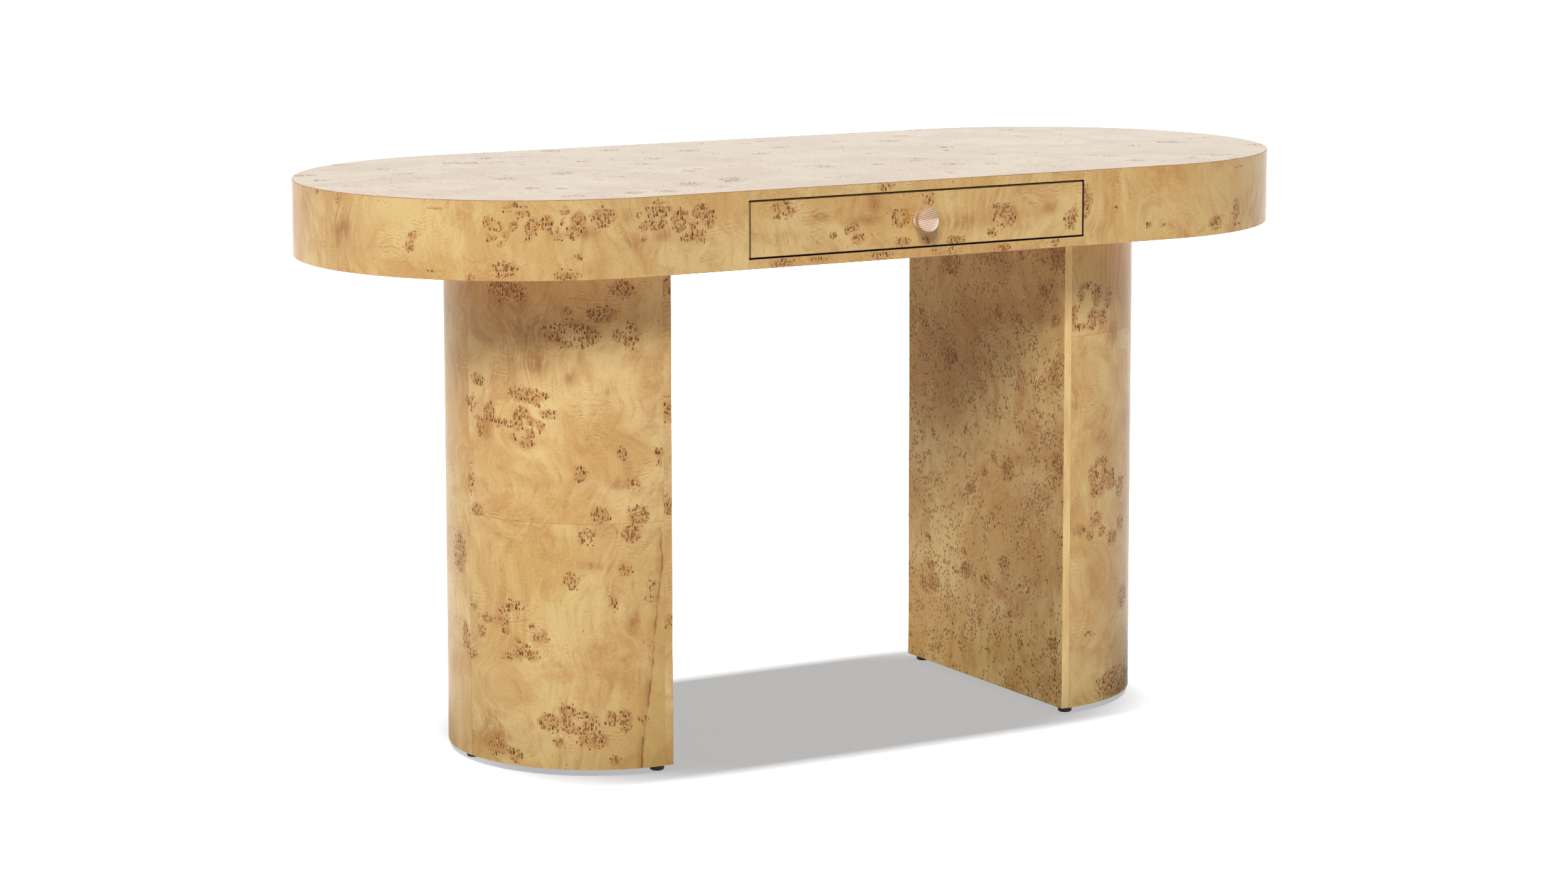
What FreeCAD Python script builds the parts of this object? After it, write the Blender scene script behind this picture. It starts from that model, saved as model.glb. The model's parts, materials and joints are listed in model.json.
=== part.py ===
import FreeCAD
import Part
import math
import os

os.makedirs("parts", exist_ok=True)
Vector = FreeCAD.Vector

# Writing desk with a racetrack top, two D-shaped pedestal legs and one shallow drawer, in millimetres.
# X runs along the desk with +X at the sitter's right, -Y is the sitter's side and +Z is up.
# The floor is at z = 0, and the pieces are drawn about the middle of the top.

# Whole desk
desk_length = 1420.0
desk_depth = 630.0
desk_height = 762.0
cutter_overrun = 5.0

# Hollow top: two panels on a bent apron, with ribs between them
top_box_height = 100.0
panel_thickness = 12.5
apron_thickness = 18.0
rib_thickness = 18.0
splice_length = 70.0
splice_depth = 28.0

# Legs: a flat inner panel and a shell bent round the outer side
leg_depth = 400.0
leg_straight = 6.0
leg_end_inset = 202.0
leg_panel_thickness = 12.0
leg_shell_thickness = 9.0
leg_board_thickness = 18.0
former_thickness = 12.0
former_height_shares = (0.35, 0.67)
corner_batten_width = 22.0
corner_batten_depth = 46.0
curve_batten_thickness = 20.0
curve_batten_width = 34.0
curve_batten_angle = 24.0

# Glides under the legs, each a disc with a stem pushed into the foot board
glide_height = 8.0
glide_diameter = 19.0
glide_bevel = 1.8
glide_inset = 16.0
glide_stem_diameter = 6.0
glide_stem_length = 12.0

# Drawer bay between the legs, and its gaps
bay_to_leg = 31.0
drawer_gap = 2.0
running_gap = 0.3
bumper_radius = 5.0
bumper_thickness = 3.0
bumper_place_share = 0.6

# Drawer
drawer_front_thickness = 18.0
drawer_board_thickness = 12.0
drawer_box_height = 56.0
drawer_rear_space = 140.0
drawer_bottom_thickness = 5.0
drawer_bottom_rise = 8.0
groove_depth = 4.0
tail_count = 3
pin_width = 4.5
tail_slope = 8.0

# Runners: a channel on the bay side, a rail under the drawer side, and one roller on each
runner_clearance = 12.7
runner_steel = 1.2
runner_shortfall = 4.0
front_setback = 1.0
channel_lip_height = 2.4
channel_lip_gap = 0.9
channel_cover_gap = 2.1
rail_edge_gap = 1.4
rail_foot_width = 11.0
rail_flange_gap = 0.5
travel_share = 0.74
stop_height = 6.0
stop_length = 4.0
roller_width = 5.0
rear_roller_radius = 9.0
front_roller_radius = 6.5
roller_end_distance = 12.0
pin_radius = 2.45
pin_running_clearance = 0.05
pin_head_radius = 4.2
pin_head_thickness = 0.9
pin_side_gap = 0.1

# Knob, turned on its axis: points of its outline as shares of its radius and of its projection
knob_radius = 16.5
knob_projection = 27.0
knob_outline_shares = (
    (0.0, 0.0),
    (0.76, 0.0),
    (0.82, 0.075),
    (0.76, 0.15),
    (0.65, 0.235),
    (0.8, 0.35),
    (0.9, 0.43),
    (0.89, 0.52),
    (0.98, 0.6),
    (1.0, 0.67),
    (0.96, 0.77),
    (0.82, 0.88),
    (0.5, 0.97),
    (0.0, 1.0),
)
knob_insert_radius = 4.0
knob_insert_length = 11.0
knob_screw_radius = 2.0
knob_screw_head_radius = 4.0
knob_screw_head_height = 2.6
knob_screw_bite = 8.0
knob_washer_radius = 5.0
knob_washer_thickness = 0.8

# Leg bolts, their washers and the threaded inserts in the top
bolt_radius = 4.0
bolt_length = 50.0
bolt_head_across_flats = 13.0
bolt_head_height = 5.3
bolt_hole_clearance = 0.4
thread_clearance = 0.1
washer_radius = 8.0
washer_thickness = 1.6
insert_radius = 6.0
insert_length = 20.0
bolt_x_shares = (0.28, 0.66)
bolt_y_share = 0.27
leg_block_thickness = 25.0
leg_block_x_share = 0.85
leg_block_y_share = 0.38

# Small turned pieces are drawn with this many flats round them
hardware_sides = 6
bumper_sides = 12
glide_sides = 24
knob_sides = 40

# Wood screws
foot_screw_radius = 2.0
foot_screw_head_radius = 4.0
foot_screw_head_height = 2.2
foot_screw_length = 40.0
runner_screw_radius = 1.6
runner_screw_head_radius = 3.0
runner_screw_head_height = 1.3
runner_screw_depth_share = 0.85
runner_screw_shares = (0.16, 0.84)
front_screw_radius = 1.9
front_screw_head_radius = 3.6
front_screw_head_height = 2.2
front_screw_length = 24.0
front_screw_x_share = 0.62
front_screw_z_share = 0.2
screw_tip_share = 1.6

# Sizes worked out from the values above
half_length = desk_length / 2
half_depth = desk_depth / 2
top_z = desk_height
under_z = desk_height - top_box_height
bay_floor_z = under_z + panel_thickness
bay_roof_z = top_z - panel_thickness
bay_middle_z = (bay_floor_z + bay_roof_z) / 2
end_centre_x = half_length - half_depth
inner_depth = half_depth - apron_thickness

leg_radius = leg_depth / 2
leg_width = leg_straight + leg_radius
leg_inner_x = half_length - leg_end_inset - leg_width
leg_round_x = leg_inner_x + leg_straight
leg_cavity_x = leg_inner_x + leg_panel_thickness
leg_cavity_radius = leg_radius - leg_shell_thickness
leg_foot_z = glide_height

bay_half_width = leg_inner_x - bay_to_leg - rib_thickness
drawer_half_width = bay_half_width - runner_clearance
drawer_inner_half_width = drawer_half_width - drawer_board_thickness
drawer_face_y = -half_depth
drawer_box_y = drawer_face_y + drawer_front_thickness
drawer_box_length = 2 * inner_depth - drawer_rear_space
drawer_back_y = drawer_box_y + drawer_box_length
drawer_low_z = bay_middle_z - drawer_box_height / 2
drawer_high_z = bay_middle_z + drawer_box_height / 2
drawer_floor_z = drawer_low_z + drawer_bottom_rise
bay_back_y = drawer_back_y + running_gap + bumper_thickness

runner_front_y = drawer_box_y + front_setback
runner_length = drawer_box_length - runner_shortfall
runner_rear_y = runner_front_y + runner_length
channel_inside = 2 * rear_roller_radius + 2 * running_gap
channel_floor_z = drawer_low_z
channel_roof_z = channel_floor_z + channel_inside
rail_flange_top_z = channel_roof_z - rail_flange_gap
rail_flange_low_z = rail_flange_top_z - runner_steel
rear_roller_z = channel_floor_z + running_gap + rear_roller_radius
front_roller_z = rail_flange_low_z - running_gap - front_roller_radius
front_roller_y = runner_front_y + roller_end_distance
rear_roller_y = runner_rear_y - roller_end_distance
runner_screw_length = runner_steel + (drawer_board_thickness - groove_depth) * runner_screw_depth_share
drawer_travel = runner_length * travel_share

# The knob makes the desk's box a little deeper in front, and the origin is under the middle of that box
origin_shift = Vector(0, knob_projection / 2, 0)


def block(x_limits, y_limits, z_limits):
    limits = (x_limits, y_limits, z_limits)
    corner = Vector(*[min(pair) for pair in limits])
    return Part.makeBox(*[abs(pair[1] - pair[0]) for pair in limits], corner)


def joined(first, *others):
    return first.multiFuse(list(others)).removeSplitter()


def less(shape, *cutters):
    return shape.cut(Part.makeCompound(list(cutters))).removeSplitter()


def wire_face(edges):
    return Part.Face(Part.Wire(Part.__sortEdges__(edges)))


def prism(face, low_z, high_z):
    raised = face.translated(Vector(0, 0, low_z))
    return raised.extrude(Vector(0, 0, high_z - low_z))


def line(start, end):
    return Part.LineSegment(start, end).toShape()


def racetrack(inset, low_z, high_z):
    radius = half_depth - inset
    left, right = -end_centre_x, end_centre_x
    edges = [
        line(Vector(left, -radius, 0), Vector(right, -radius, 0)),
        Part.Arc(Vector(right, -radius, 0), Vector(right + radius, 0, 0), Vector(right, radius, 0)).toShape(),
        line(Vector(right, radius, 0), Vector(left, radius, 0)),
        Part.Arc(Vector(left, radius, 0), Vector(left - radius, 0, 0), Vector(left, -radius, 0)).toShape(),
    ]
    return prism(wire_face(edges), low_z, high_z)


def leg_prism(flat_x, radius, low_z, high_z):
    # D-shaped outline, flat towards the knee space and round towards the end of the desk
    beyond_centre = max(flat_x - leg_round_x, 0)
    half_chord = math.sqrt(radius**2 - beyond_centre**2)
    arc_x = max(flat_x, leg_round_x)
    front, back = Vector(arc_x, -half_chord, 0), Vector(arc_x, half_chord, 0)
    edges = [Part.Arc(front, Vector(leg_round_x + radius, 0, 0), back).toShape()]
    outline = [back]
    if flat_x < leg_round_x:
        outline += [Vector(flat_x, half_chord, 0), Vector(flat_x, -half_chord, 0)]
    outline.append(front)
    edges += [line(start, end) for start, end in zip(outline, outline[1:])]
    return prism(wire_face(edges), low_z, high_z)


def disc(centre, direction, radius, thickness):
    return Part.makeCylinder(radius, thickness, centre, direction)


def ring(centre, direction, outer_radius, bore_radius, thickness):
    return disc(centre, direction, outer_radius, thickness).cut(disc(centre, direction, bore_radius, thickness))


def aimed(shape, centre, direction):
    shape.Placement = FreeCAD.Placement(centre, FreeCAD.Rotation(Vector(0, 0, 1), direction))
    return shape


def flat_sided(profile, centre, direction, sides=hardware_sides):
    # Closed outline of (radius, height) points carried round its height axis in flats, and aimed along
    # direction. The outline runs anticlockwise, and may start and end on the axis.
    turns = [math.tau * step / sides for step in range(sides)]
    faces = []
    outline = list(profile)
    for (low_radius, low), (high_radius, high) in zip(outline, outline[1:] + outline[:1]):
        for turn, next_turn in zip(turns, turns[1:] + turns[:1]):
            corners = []
            for radius, height, angle in (
                (low_radius, low, turn),
                (low_radius, low, next_turn),
                (high_radius, high, next_turn),
                (high_radius, high, turn),
            ):
                corner = Vector(radius * math.cos(angle), radius * math.sin(angle), height)
                if corner not in corners:
                    corners.append(corner)
            if len(corners) > 2:
                faces.append(Part.Face(Part.makePolygon(corners + corners[:1])))
    body = Part.Solid(Part.Shell(faces)).removeSplitter()
    return aimed(body, centre, direction)


def flat_rod(centre, direction, radius, length, sides=hardware_sides):
    return flat_sided(((0, 0), (radius, 0), (radius, length), (0, length)), centre, direction, sides)


def flat_ring(centre, direction, radius, bore, length):
    profile = ((bore, 0), (radius, 0), (radius, length), (bore, length))
    return flat_sided(profile, centre, direction)


def wood_screw(head_top, direction, radius, head_radius, head_height, length):
    # Countersunk head flush at head_top, with its point length away along direction
    tip = radius * screw_tip_share
    profile = ((0, 0), (head_radius, 0), (radius, head_height), (radius, length - tip), (0, length))
    return flat_sided(profile, head_top, direction)


def mirrored(shape):
    return shape.mirror(Vector(0, 0, 0), Vector(1, 0, 0))


def both_sides(shapes):
    return shapes + [mirrored(shape) for shape in shapes]


def save(node, *shapes):
    shape = shapes[0] if len(shapes) == 1 else Part.makeCompound(list(shapes))
    shape.translated(origin_shift).exportStep(f"parts/{node}.step")


def save_pair(piece, shape):
    # The shape is modelled on the +X side
    save(f"right_{piece}", shape)
    save(f"left_{piece}", mirrored(shape))


def leg_bolt_places():
    return [
        (leg_inner_x + leg_width * x_share, side * leg_depth * bolt_y_share)
        for x_share in bolt_x_shares
        for side in (-1, 1)
    ]


def glide_places():
    # Two at the corners beside the knee space and one under the round nose
    corner_y = leg_radius - glide_inset
    return [
        (leg_inner_x + glide_inset, -corner_y),
        (leg_inner_x + glide_inset, corner_y),
        (leg_inner_x + leg_width - glide_inset, 0),
    ]


def leg_bolts():
    seat_z = under_z - leg_board_thickness - washer_thickness
    head_radius = bolt_head_across_flats / math.sqrt(3)
    bolts = []
    for x, y in leg_bolt_places():
        head = ((0, 0), (head_radius, 0), (head_radius, bolt_head_height), (0, bolt_head_height))
        head = flat_sided(head, Vector(x, y, seat_z - bolt_head_height), Vector(0, 0, 1))
        bolts.append(joined(head, flat_rod(Vector(x, y, seat_z), Vector(0, 0, 1), bolt_radius, bolt_length)))
    return bolts


def leg_washers():
    low_z = under_z - leg_board_thickness - washer_thickness
    bore = bolt_radius + bolt_hole_clearance
    return [
        flat_ring(Vector(x, y, low_z), Vector(0, 0, 1), washer_radius, bore, washer_thickness)
        for x, y in leg_bolt_places()
    ]


def leg_inserts():
    bore = bolt_radius + thread_clearance
    return [
        flat_ring(Vector(x, y, bay_floor_z), Vector(0, 0, 1), insert_radius, bore, insert_length)
        for x, y in leg_bolt_places()
    ]


def bolt_holes(low_z, high_z, radius):
    return [flat_rod(Vector(x, y, low_z), Vector(0, 0, 1), radius, high_z - low_z) for x, y in leg_bolt_places()]


def top_box():
    clearance_hole = bolt_radius + bolt_hole_clearance
    floor_holes = both_sides(bolt_holes(under_z, bay_floor_z, clearance_hole))
    save("top_panel", racetrack(0, bay_roof_z, top_z))
    save("bottom_panel", less(racetrack(0, under_z, bay_floor_z), *floor_holes))

    inside = racetrack(apron_thickness, bay_floor_z, bay_roof_z)
    apron = racetrack(0, bay_floor_z, bay_roof_z).cut(inside)
    heights = (bay_floor_z, bay_roof_z)
    beyond_y = half_depth + cutter_overrun
    end_zone = block((end_centre_x, half_length + cutter_overrun), (-beyond_y, beyond_y), heights)
    front_zone = block((bay_half_width, end_centre_x), (-beyond_y, 0), heights)
    back_zone = block((-end_centre_x, end_centre_x), (0, beyond_y), heights)
    save_pair("end_apron", apron.common(end_zone))
    save_pair("front_apron", apron.common(front_zone))
    save("back_apron", apron.common(back_zone))

    splice_x = (end_centre_x - splice_length / 2, end_centre_x + splice_length / 2)
    splice_y = inner_depth - splice_depth
    splices = [block(splice_x, (side * splice_y, side * inner_depth), heights).common(inside) for side in (-1, 1)]
    save("splice_blocks", *both_sides(splices))

    side_x = (bay_half_width, bay_half_width + rib_thickness)
    save_pair("bay_side", block(side_x, (-inner_depth, inner_depth), heights).cut(runner_screws_in_bay()))
    back = block((-bay_half_width, bay_half_width), (bay_back_y, bay_back_y + rib_thickness), heights)
    save("bay_back", back)
    bumper_x = drawer_half_width * bumper_place_share
    bumper_places = [Vector(side * bumper_x, bay_back_y, bay_middle_z) for side in (-1, 1)]
    forwards = Vector(0, -1, 0)
    bumpers = [
        flat_rod(place, forwards, bumper_radius, bumper_thickness, bumper_sides) for place in bumper_places
    ]
    save("drawer_bumpers", *bumpers)

    block_top_z = bay_floor_z + leg_block_thickness
    block_x = (leg_inner_x, leg_inner_x + leg_width * leg_block_x_share)
    block_y = leg_depth * leg_block_y_share
    leg_block = block(block_x, (-block_y, block_y), (bay_floor_z, block_top_z))
    insert_holes = bolt_holes(bay_floor_z, block_top_z, insert_radius)
    save_pair("leg_block", less(leg_block, *insert_holes))
    save("leg_inserts", *both_sides(leg_inserts()))

    # The long rib bridges the leg block and crosses the short rib in a halved joint
    half_rib = rib_thickness / 2
    cross_x = leg_inner_x + leg_width + rib_thickness * 2
    long_rib = block((side_x[1], half_length), (-half_rib, half_rib), heights).common(inside).cut(leg_block)
    cross_rib = block((cross_x, cross_x + rib_thickness), (-half_depth, half_depth), heights).common(inside)
    crossing = ((cross_x, cross_x + rib_thickness), (-half_rib, half_rib))
    save_pair("long_rib", long_rib.cut(block(*crossing, (bay_middle_z, bay_roof_z))))
    save_pair("cross_rib", cross_rib.cut(block(*crossing, (bay_floor_z, bay_middle_z))))


def leg_battens(low_z, high_z):
    cavity = leg_prism(leg_cavity_x, leg_cavity_radius, low_z, high_z)
    corner_x = (leg_cavity_x, leg_cavity_x + corner_batten_width)
    corner_y = leg_cavity_radius - corner_batten_depth
    shapes = [block(corner_x, (side * corner_y, side * leg_radius), (low_z, high_z)) for side in (-1, 1)]
    nose_x = leg_round_x + leg_cavity_radius
    for side in (-1, 1):
        batten = block(
            (nose_x - curve_batten_thickness, nose_x + leg_shell_thickness),
            (-curve_batten_width / 2, curve_batten_width / 2),
            (low_z, high_z),
        )
        batten.rotate(Vector(leg_round_x, 0, 0), Vector(0, 0, 1), side * curve_batten_angle)
        shapes.append(batten)
    return [shape.common(cavity) for shape in shapes]


def foot_screws():
    # One up through the foot board into the end of each batten
    corner = (
        leg_cavity_x + corner_batten_width / 2,
        leg_cavity_radius - corner_batten_depth + foot_screw_head_radius * 2,
    )
    arm = leg_cavity_radius - curve_batten_thickness / 2
    turn = math.radians(curve_batten_angle)
    curve = (leg_round_x + arm * math.cos(turn), arm * math.sin(turn))
    return [
        wood_screw(
            Vector(x, side * y, leg_foot_z),
            Vector(0, 0, 1),
            foot_screw_radius,
            foot_screw_head_radius,
            foot_screw_head_height,
            foot_screw_length,
        )
        for x, y in (corner, curve)
        for side in (-1, 1)
    ]


def glides():
    radius = glide_diameter / 2
    profile = (
        (0, 0),
        (radius - glide_bevel, 0),
        (radius, glide_bevel),
        (radius, glide_height),
        (0, glide_height),
    )
    shapes = []
    for x, y in glide_places():
        foot = flat_sided(profile, Vector(x, y, 0), Vector(0, 0, 1), glide_sides)
        stem = flat_rod(Vector(x, y, glide_height), Vector(0, 0, 1), glide_stem_diameter / 2, glide_stem_length)
        shapes.append(joined(foot, stem))
    return shapes


def legs():
    clearance_hole = bolt_radius + bolt_hole_clearance
    head_low_z = under_z - leg_board_thickness
    foot_high_z = leg_foot_z + leg_board_thickness
    solid_leg = leg_prism(leg_inner_x, leg_radius, leg_foot_z, under_z)
    curved_part = leg_prism(leg_cavity_x, leg_radius, leg_foot_z, under_z)
    cavity = leg_prism(leg_cavity_x, leg_cavity_radius, leg_foot_z, under_z)
    save_pair("leg_inner_panel", solid_leg.cut(curved_part))
    save_pair("leg_shell", curved_part.cut(cavity))

    head_board = leg_prism(leg_cavity_x, leg_cavity_radius, head_low_z, under_z)
    save_pair("leg_head_board", less(head_board, *bolt_holes(head_low_z, under_z, clearance_hole)))
    screws, feet = foot_screws(), glides()
    foot_board = leg_prism(leg_cavity_x, leg_cavity_radius, leg_foot_z, foot_high_z)
    save_pair("leg_foot_board", less(foot_board, *screws, *feet))

    battens = leg_battens(foot_high_z, head_low_z)
    formers = [
        leg_prism(leg_cavity_x, leg_cavity_radius, middle_z - former_thickness / 2, middle_z + former_thickness / 2)
        for middle_z in (foot_high_z + (head_low_z - foot_high_z) * share for share in former_height_shares)
    ]
    formers = [less(former, *battens) for former in formers]
    save_pair("leg_battens", Part.makeCompound([less(batten, *screws) for batten in battens]))
    save_pair("leg_formers", Part.makeCompound(formers))
    save("foot_board_screws", *both_sides(screws))
    save("foot_glides", *both_sides(feet))
    save("leg_bolts", *both_sides(leg_bolts()))
    save("leg_washers", *both_sides(leg_washers()))


def tail_sockets(inner_y, outer_y):
    # Spaces between the tails of a side board, narrow at its end and wide at the joint line
    pitch = drawer_box_height / tail_count
    narrow = pin_width / 2
    wide = narrow + drawer_board_thickness * math.tan(math.radians(tail_slope))
    inside_x = drawer_inner_half_width - cutter_overrun
    sockets = []
    for place in range(tail_count + 1):
        z = drawer_low_z + place * pitch
        corners = (
            Vector(inside_x, outer_y, z - narrow),
            Vector(inside_x, outer_y, z + narrow),
            Vector(inside_x, inner_y, z + wide),
            Vector(inside_x, inner_y, z - wide),
        )
        face = Part.Face(Part.makePolygon(corners + corners[:1]))
        sockets.append(face.extrude(Vector(drawer_board_thickness + cutter_overrun * 2, 0, 0)))
    return sockets


def drawer():
    heights = (drawer_low_z, drawer_high_z)
    front_inner_y = drawer_box_y + drawer_board_thickness
    back_inner_y = drawer_back_y - drawer_board_thickness
    floor_x = drawer_inner_half_width + groove_depth
    floor = block(
        (-floor_x, floor_x),
        (front_inner_y - groove_depth, back_inner_y + groove_depth),
        (drawer_floor_z, drawer_floor_z + drawer_bottom_thickness),
    )

    side = block((drawer_inner_half_width, drawer_half_width), (drawer_box_y, drawer_back_y), heights)
    sockets = tail_sockets(front_inner_y, drawer_box_y) + tail_sockets(back_inner_y, drawer_back_y)
    side = less(side, *sockets)
    tails = both_sides([side])
    across = (-drawer_half_width, drawer_half_width)
    box_front = less(block(across, (drawer_box_y, front_inner_y), heights), *tails, floor)
    box_back = less(block(across, (back_inner_y, drawer_back_y), heights), *tails, floor)

    face_x = bay_half_width - drawer_gap
    face_z = (bay_floor_z + drawer_gap, bay_roof_z - drawer_gap)
    face = block((-face_x, face_x), (drawer_face_y, drawer_box_y), face_z)
    front_screws = [
        wood_screw(
            Vector(
                x_side * drawer_half_width * front_screw_x_share,
                front_inner_y,
                bay_middle_z + z_side * drawer_box_height * front_screw_z_share,
            ),
            Vector(0, -1, 0),
            front_screw_radius,
            front_screw_head_radius,
            front_screw_head_height,
            front_screw_length,
        )
        for x_side in (-1, 1)
        for z_side in (-1, 1)
    ]

    # The knob's machine screw runs from inside the drawer through both boards into a brass insert
    forwards = Vector(0, -1, 0)
    head_seat = Vector(0, front_inner_y + knob_washer_thickness, bay_middle_z)
    screw_reach = head_seat.y - drawer_face_y + knob_screw_bite
    screw_hole = flat_rod(head_seat, forwards, knob_screw_radius + thread_clearance, screw_reach)
    knob_seat = Vector(0, drawer_face_y, bay_middle_z)
    outline = [(share_r * knob_radius, share_p * knob_projection) for share_r, share_p in knob_outline_shares]
    knob = flat_sided(outline, knob_seat, forwards, knob_sides)
    insert_bore = knob_screw_radius + thread_clearance
    insert = flat_ring(knob_seat, forwards, knob_insert_radius, insert_bore, knob_insert_length)
    screw = joined(
        flat_rod(head_seat, forwards, knob_screw_radius, screw_reach),
        flat_rod(head_seat, Vector(0, 1, 0), knob_screw_head_radius, knob_screw_head_height),
    )
    washer = flat_ring(
        Vector(0, front_inner_y, bay_middle_z),
        Vector(0, 1, 0),
        knob_washer_radius,
        knob_screw_radius + thread_clearance,
        knob_washer_thickness,
    )

    save_pair("drawer_side", less(side, floor, runner_screws_in_drawer()))
    save("drawer_box_front", less(box_front, screw_hole, *front_screws))
    save("drawer_back", box_back)
    save("drawer_bottom", floor)
    save("drawer_front", less(face, screw_hole, *front_screws))
    save("drawer_front_screws", *front_screws)
    save("knob", knob.cut(flat_rod(knob_seat, forwards, knob_insert_radius, knob_insert_length)))
    save("knob_insert", insert)
    save("knob_screw", screw)
    save("knob_washer", washer)


def runner_screws(wall_x, direction):
    return [
        wood_screw(
            Vector(wall_x, runner_front_y + runner_length * share, rear_roller_z),
            direction,
            runner_screw_radius,
            runner_screw_head_radius,
            runner_screw_head_height,
            runner_screw_length,
        )
        for share in runner_screw_shares
    ]


def runner_screws_in_bay():
    # Their heads stand in the channel's web, which lies against the bay side
    return Part.makeCompound(runner_screws(bay_half_width - runner_steel, Vector(1, 0, 0)))


def runner_screws_in_drawer():
    return Part.makeCompound(runner_screws(drawer_half_width + runner_steel, Vector(-1, 0, 0)))


def roller(centre, radius):
    # Nylon wheel on an axis along X, with its bore a running fit on the pin
    start = centre - Vector(roller_width / 2, 0, 0)
    return ring(start, Vector(1, 0, 0), radius, pin_radius + pin_running_clearance, roller_width)


def roller_pin(wall_x, roller_x, y, z):
    # Riveted to the steel at wall_x, with a collar before the roller and a head beyond it
    away = 1 if roller_x > wall_x else -1
    direction = Vector(away, 0, 0)
    near_x = roller_x - away * (roller_width / 2 + pin_side_gap)
    far_x = roller_x + away * (roller_width / 2 + pin_side_gap)
    collar = flat_rod(Vector(wall_x, y, z), direction, pin_head_radius, abs(near_x - wall_x))
    shank = disc(Vector(near_x, y, z), direction, pin_radius, abs(far_x - near_x))
    head = flat_rod(Vector(far_x, y, z), direction, pin_head_radius, pin_head_thickness)
    return joined(collar, shank, head)


def runners():
    # Everything here is on the +X side, where the channel's web lies at the larger x
    along = (runner_front_y, runner_rear_y)
    web_x = bay_half_width - runner_steel
    lip_x = drawer_half_width + runner_steel + channel_lip_gap
    channel = joined(
        block((web_x, bay_half_width), along, (channel_floor_z - runner_steel, channel_roof_z + runner_steel)),
        block((lip_x, web_x), along, (channel_floor_z - runner_steel, channel_floor_z)),
        block((lip_x, lip_x + runner_steel), along, (channel_floor_z, channel_floor_z + channel_lip_height)),
        block(
            (drawer_half_width + runner_steel + channel_cover_gap, web_x),
            along,
            (channel_roof_z, channel_roof_z + runner_steel),
        ),
    )
    # A lug pressed up from the channel floor stops the rear roller when the drawer is out
    stop_y = rear_roller_y - drawer_travel
    lug_rise = rear_roller_z - channel_floor_z - stop_height
    lug_y = stop_y - math.sqrt(rear_roller_radius**2 - lug_rise**2) - running_gap
    lug_x = (web_x - stop_length, web_x)
    lug = block(lug_x, (lug_y - runner_steel, lug_y), (channel_floor_z, channel_floor_z + stop_height))
    channel = joined(channel, lug)

    rail_web_x = drawer_half_width + runner_steel
    rail_low_z = drawer_low_z - runner_steel
    flange_rear_y = rear_roller_y - rear_roller_radius - rail_flange_gap
    rail = joined(
        block((drawer_half_width, rail_web_x), along, (rail_low_z, rail_flange_top_z)),
        block((drawer_half_width - rail_foot_width, drawer_half_width), along, (rail_low_z, drawer_low_z)),
        block(
            (rail_web_x, web_x - rail_edge_gap),
            (runner_front_y, flange_rear_y),
            (rail_flange_low_z, rail_flange_top_z),
        ),
    )

    front_x = web_x - pin_head_thickness - roller_width / 2 - pin_side_gap
    rear_x = rail_web_x + channel_cover_gap + roller_width / 2 + pin_side_gap
    bay_screws, drawer_screws = runner_screws_in_bay(), runner_screws_in_drawer()
    save_pair("cabinet_runner", channel.cut(bay_screws))
    save_pair("drawer_runner", rail.cut(drawer_screws))
    save_pair("front_roller", roller(Vector(front_x, front_roller_y, front_roller_z), front_roller_radius))
    save_pair("rear_roller", roller(Vector(rear_x, rear_roller_y, rear_roller_z), rear_roller_radius))
    front_pin = roller_pin(web_x, front_x, front_roller_y, front_roller_z)
    rear_pin = roller_pin(rail_web_x, rear_x, rear_roller_y, rear_roller_z)
    save("front_roller_pins", *both_sides([front_pin]))
    save("rear_roller_pins", *both_sides([rear_pin]))
    save("cabinet_runner_screws", *both_sides(bay_screws.Solids))
    save("drawer_runner_screws", *both_sides(drawer_screws.Solids))


top_box()
legs()
drawer()
runners()
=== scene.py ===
import json
import math
import random
from bisect import bisect

import bmesh
import bpy
import numpy as np
from mathutils import Matrix, Vector


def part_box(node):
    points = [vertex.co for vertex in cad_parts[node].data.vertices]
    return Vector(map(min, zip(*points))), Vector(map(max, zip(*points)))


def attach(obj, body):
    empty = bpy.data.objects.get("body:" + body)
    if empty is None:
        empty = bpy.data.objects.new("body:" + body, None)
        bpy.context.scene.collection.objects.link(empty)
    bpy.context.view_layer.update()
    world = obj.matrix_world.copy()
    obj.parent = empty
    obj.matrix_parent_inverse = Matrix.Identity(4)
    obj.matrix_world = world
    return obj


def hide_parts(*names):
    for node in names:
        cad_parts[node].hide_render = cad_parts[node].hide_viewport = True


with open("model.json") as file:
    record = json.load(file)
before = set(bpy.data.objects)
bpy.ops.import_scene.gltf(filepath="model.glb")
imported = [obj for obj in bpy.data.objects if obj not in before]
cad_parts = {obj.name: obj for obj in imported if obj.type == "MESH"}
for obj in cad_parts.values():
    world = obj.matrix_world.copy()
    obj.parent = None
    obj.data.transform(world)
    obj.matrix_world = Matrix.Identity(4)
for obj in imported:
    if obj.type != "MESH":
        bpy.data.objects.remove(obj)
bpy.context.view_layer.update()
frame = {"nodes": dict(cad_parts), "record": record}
nodes = frame["nodes"]
sides = {"left": -1, "right": 1}

# Camera, fitted to the photograph with the desk 762 mm high
view = {
    "frameWidth": 2500,
    "frameHeight": 1406,
    "place": Vector((-2.6411, -4.5355, 1.2719)),
    "yaw": math.radians(29.94),  # from +Y towards +X
    "pitch": math.radians(-7.36),
    "roll": math.radians(-0.07),
    "focalPixels": 6230.2,
    "shift": -0.1,
    "sensorWidth": 36,
    "farClip": 200,
}
turn = Matrix.Rotation(-view["yaw"], 3, "Z") @ Matrix.Rotation(math.pi / 2 + view["pitch"], 3, "X")
turn = turn @ Matrix.Rotation(view["roll"], 3, "Z")


def addObject(name, data):
    added = bpy.data.objects.new(name, data)
    bpy.context.scene.collection.objects.link(added)
    return added


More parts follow.
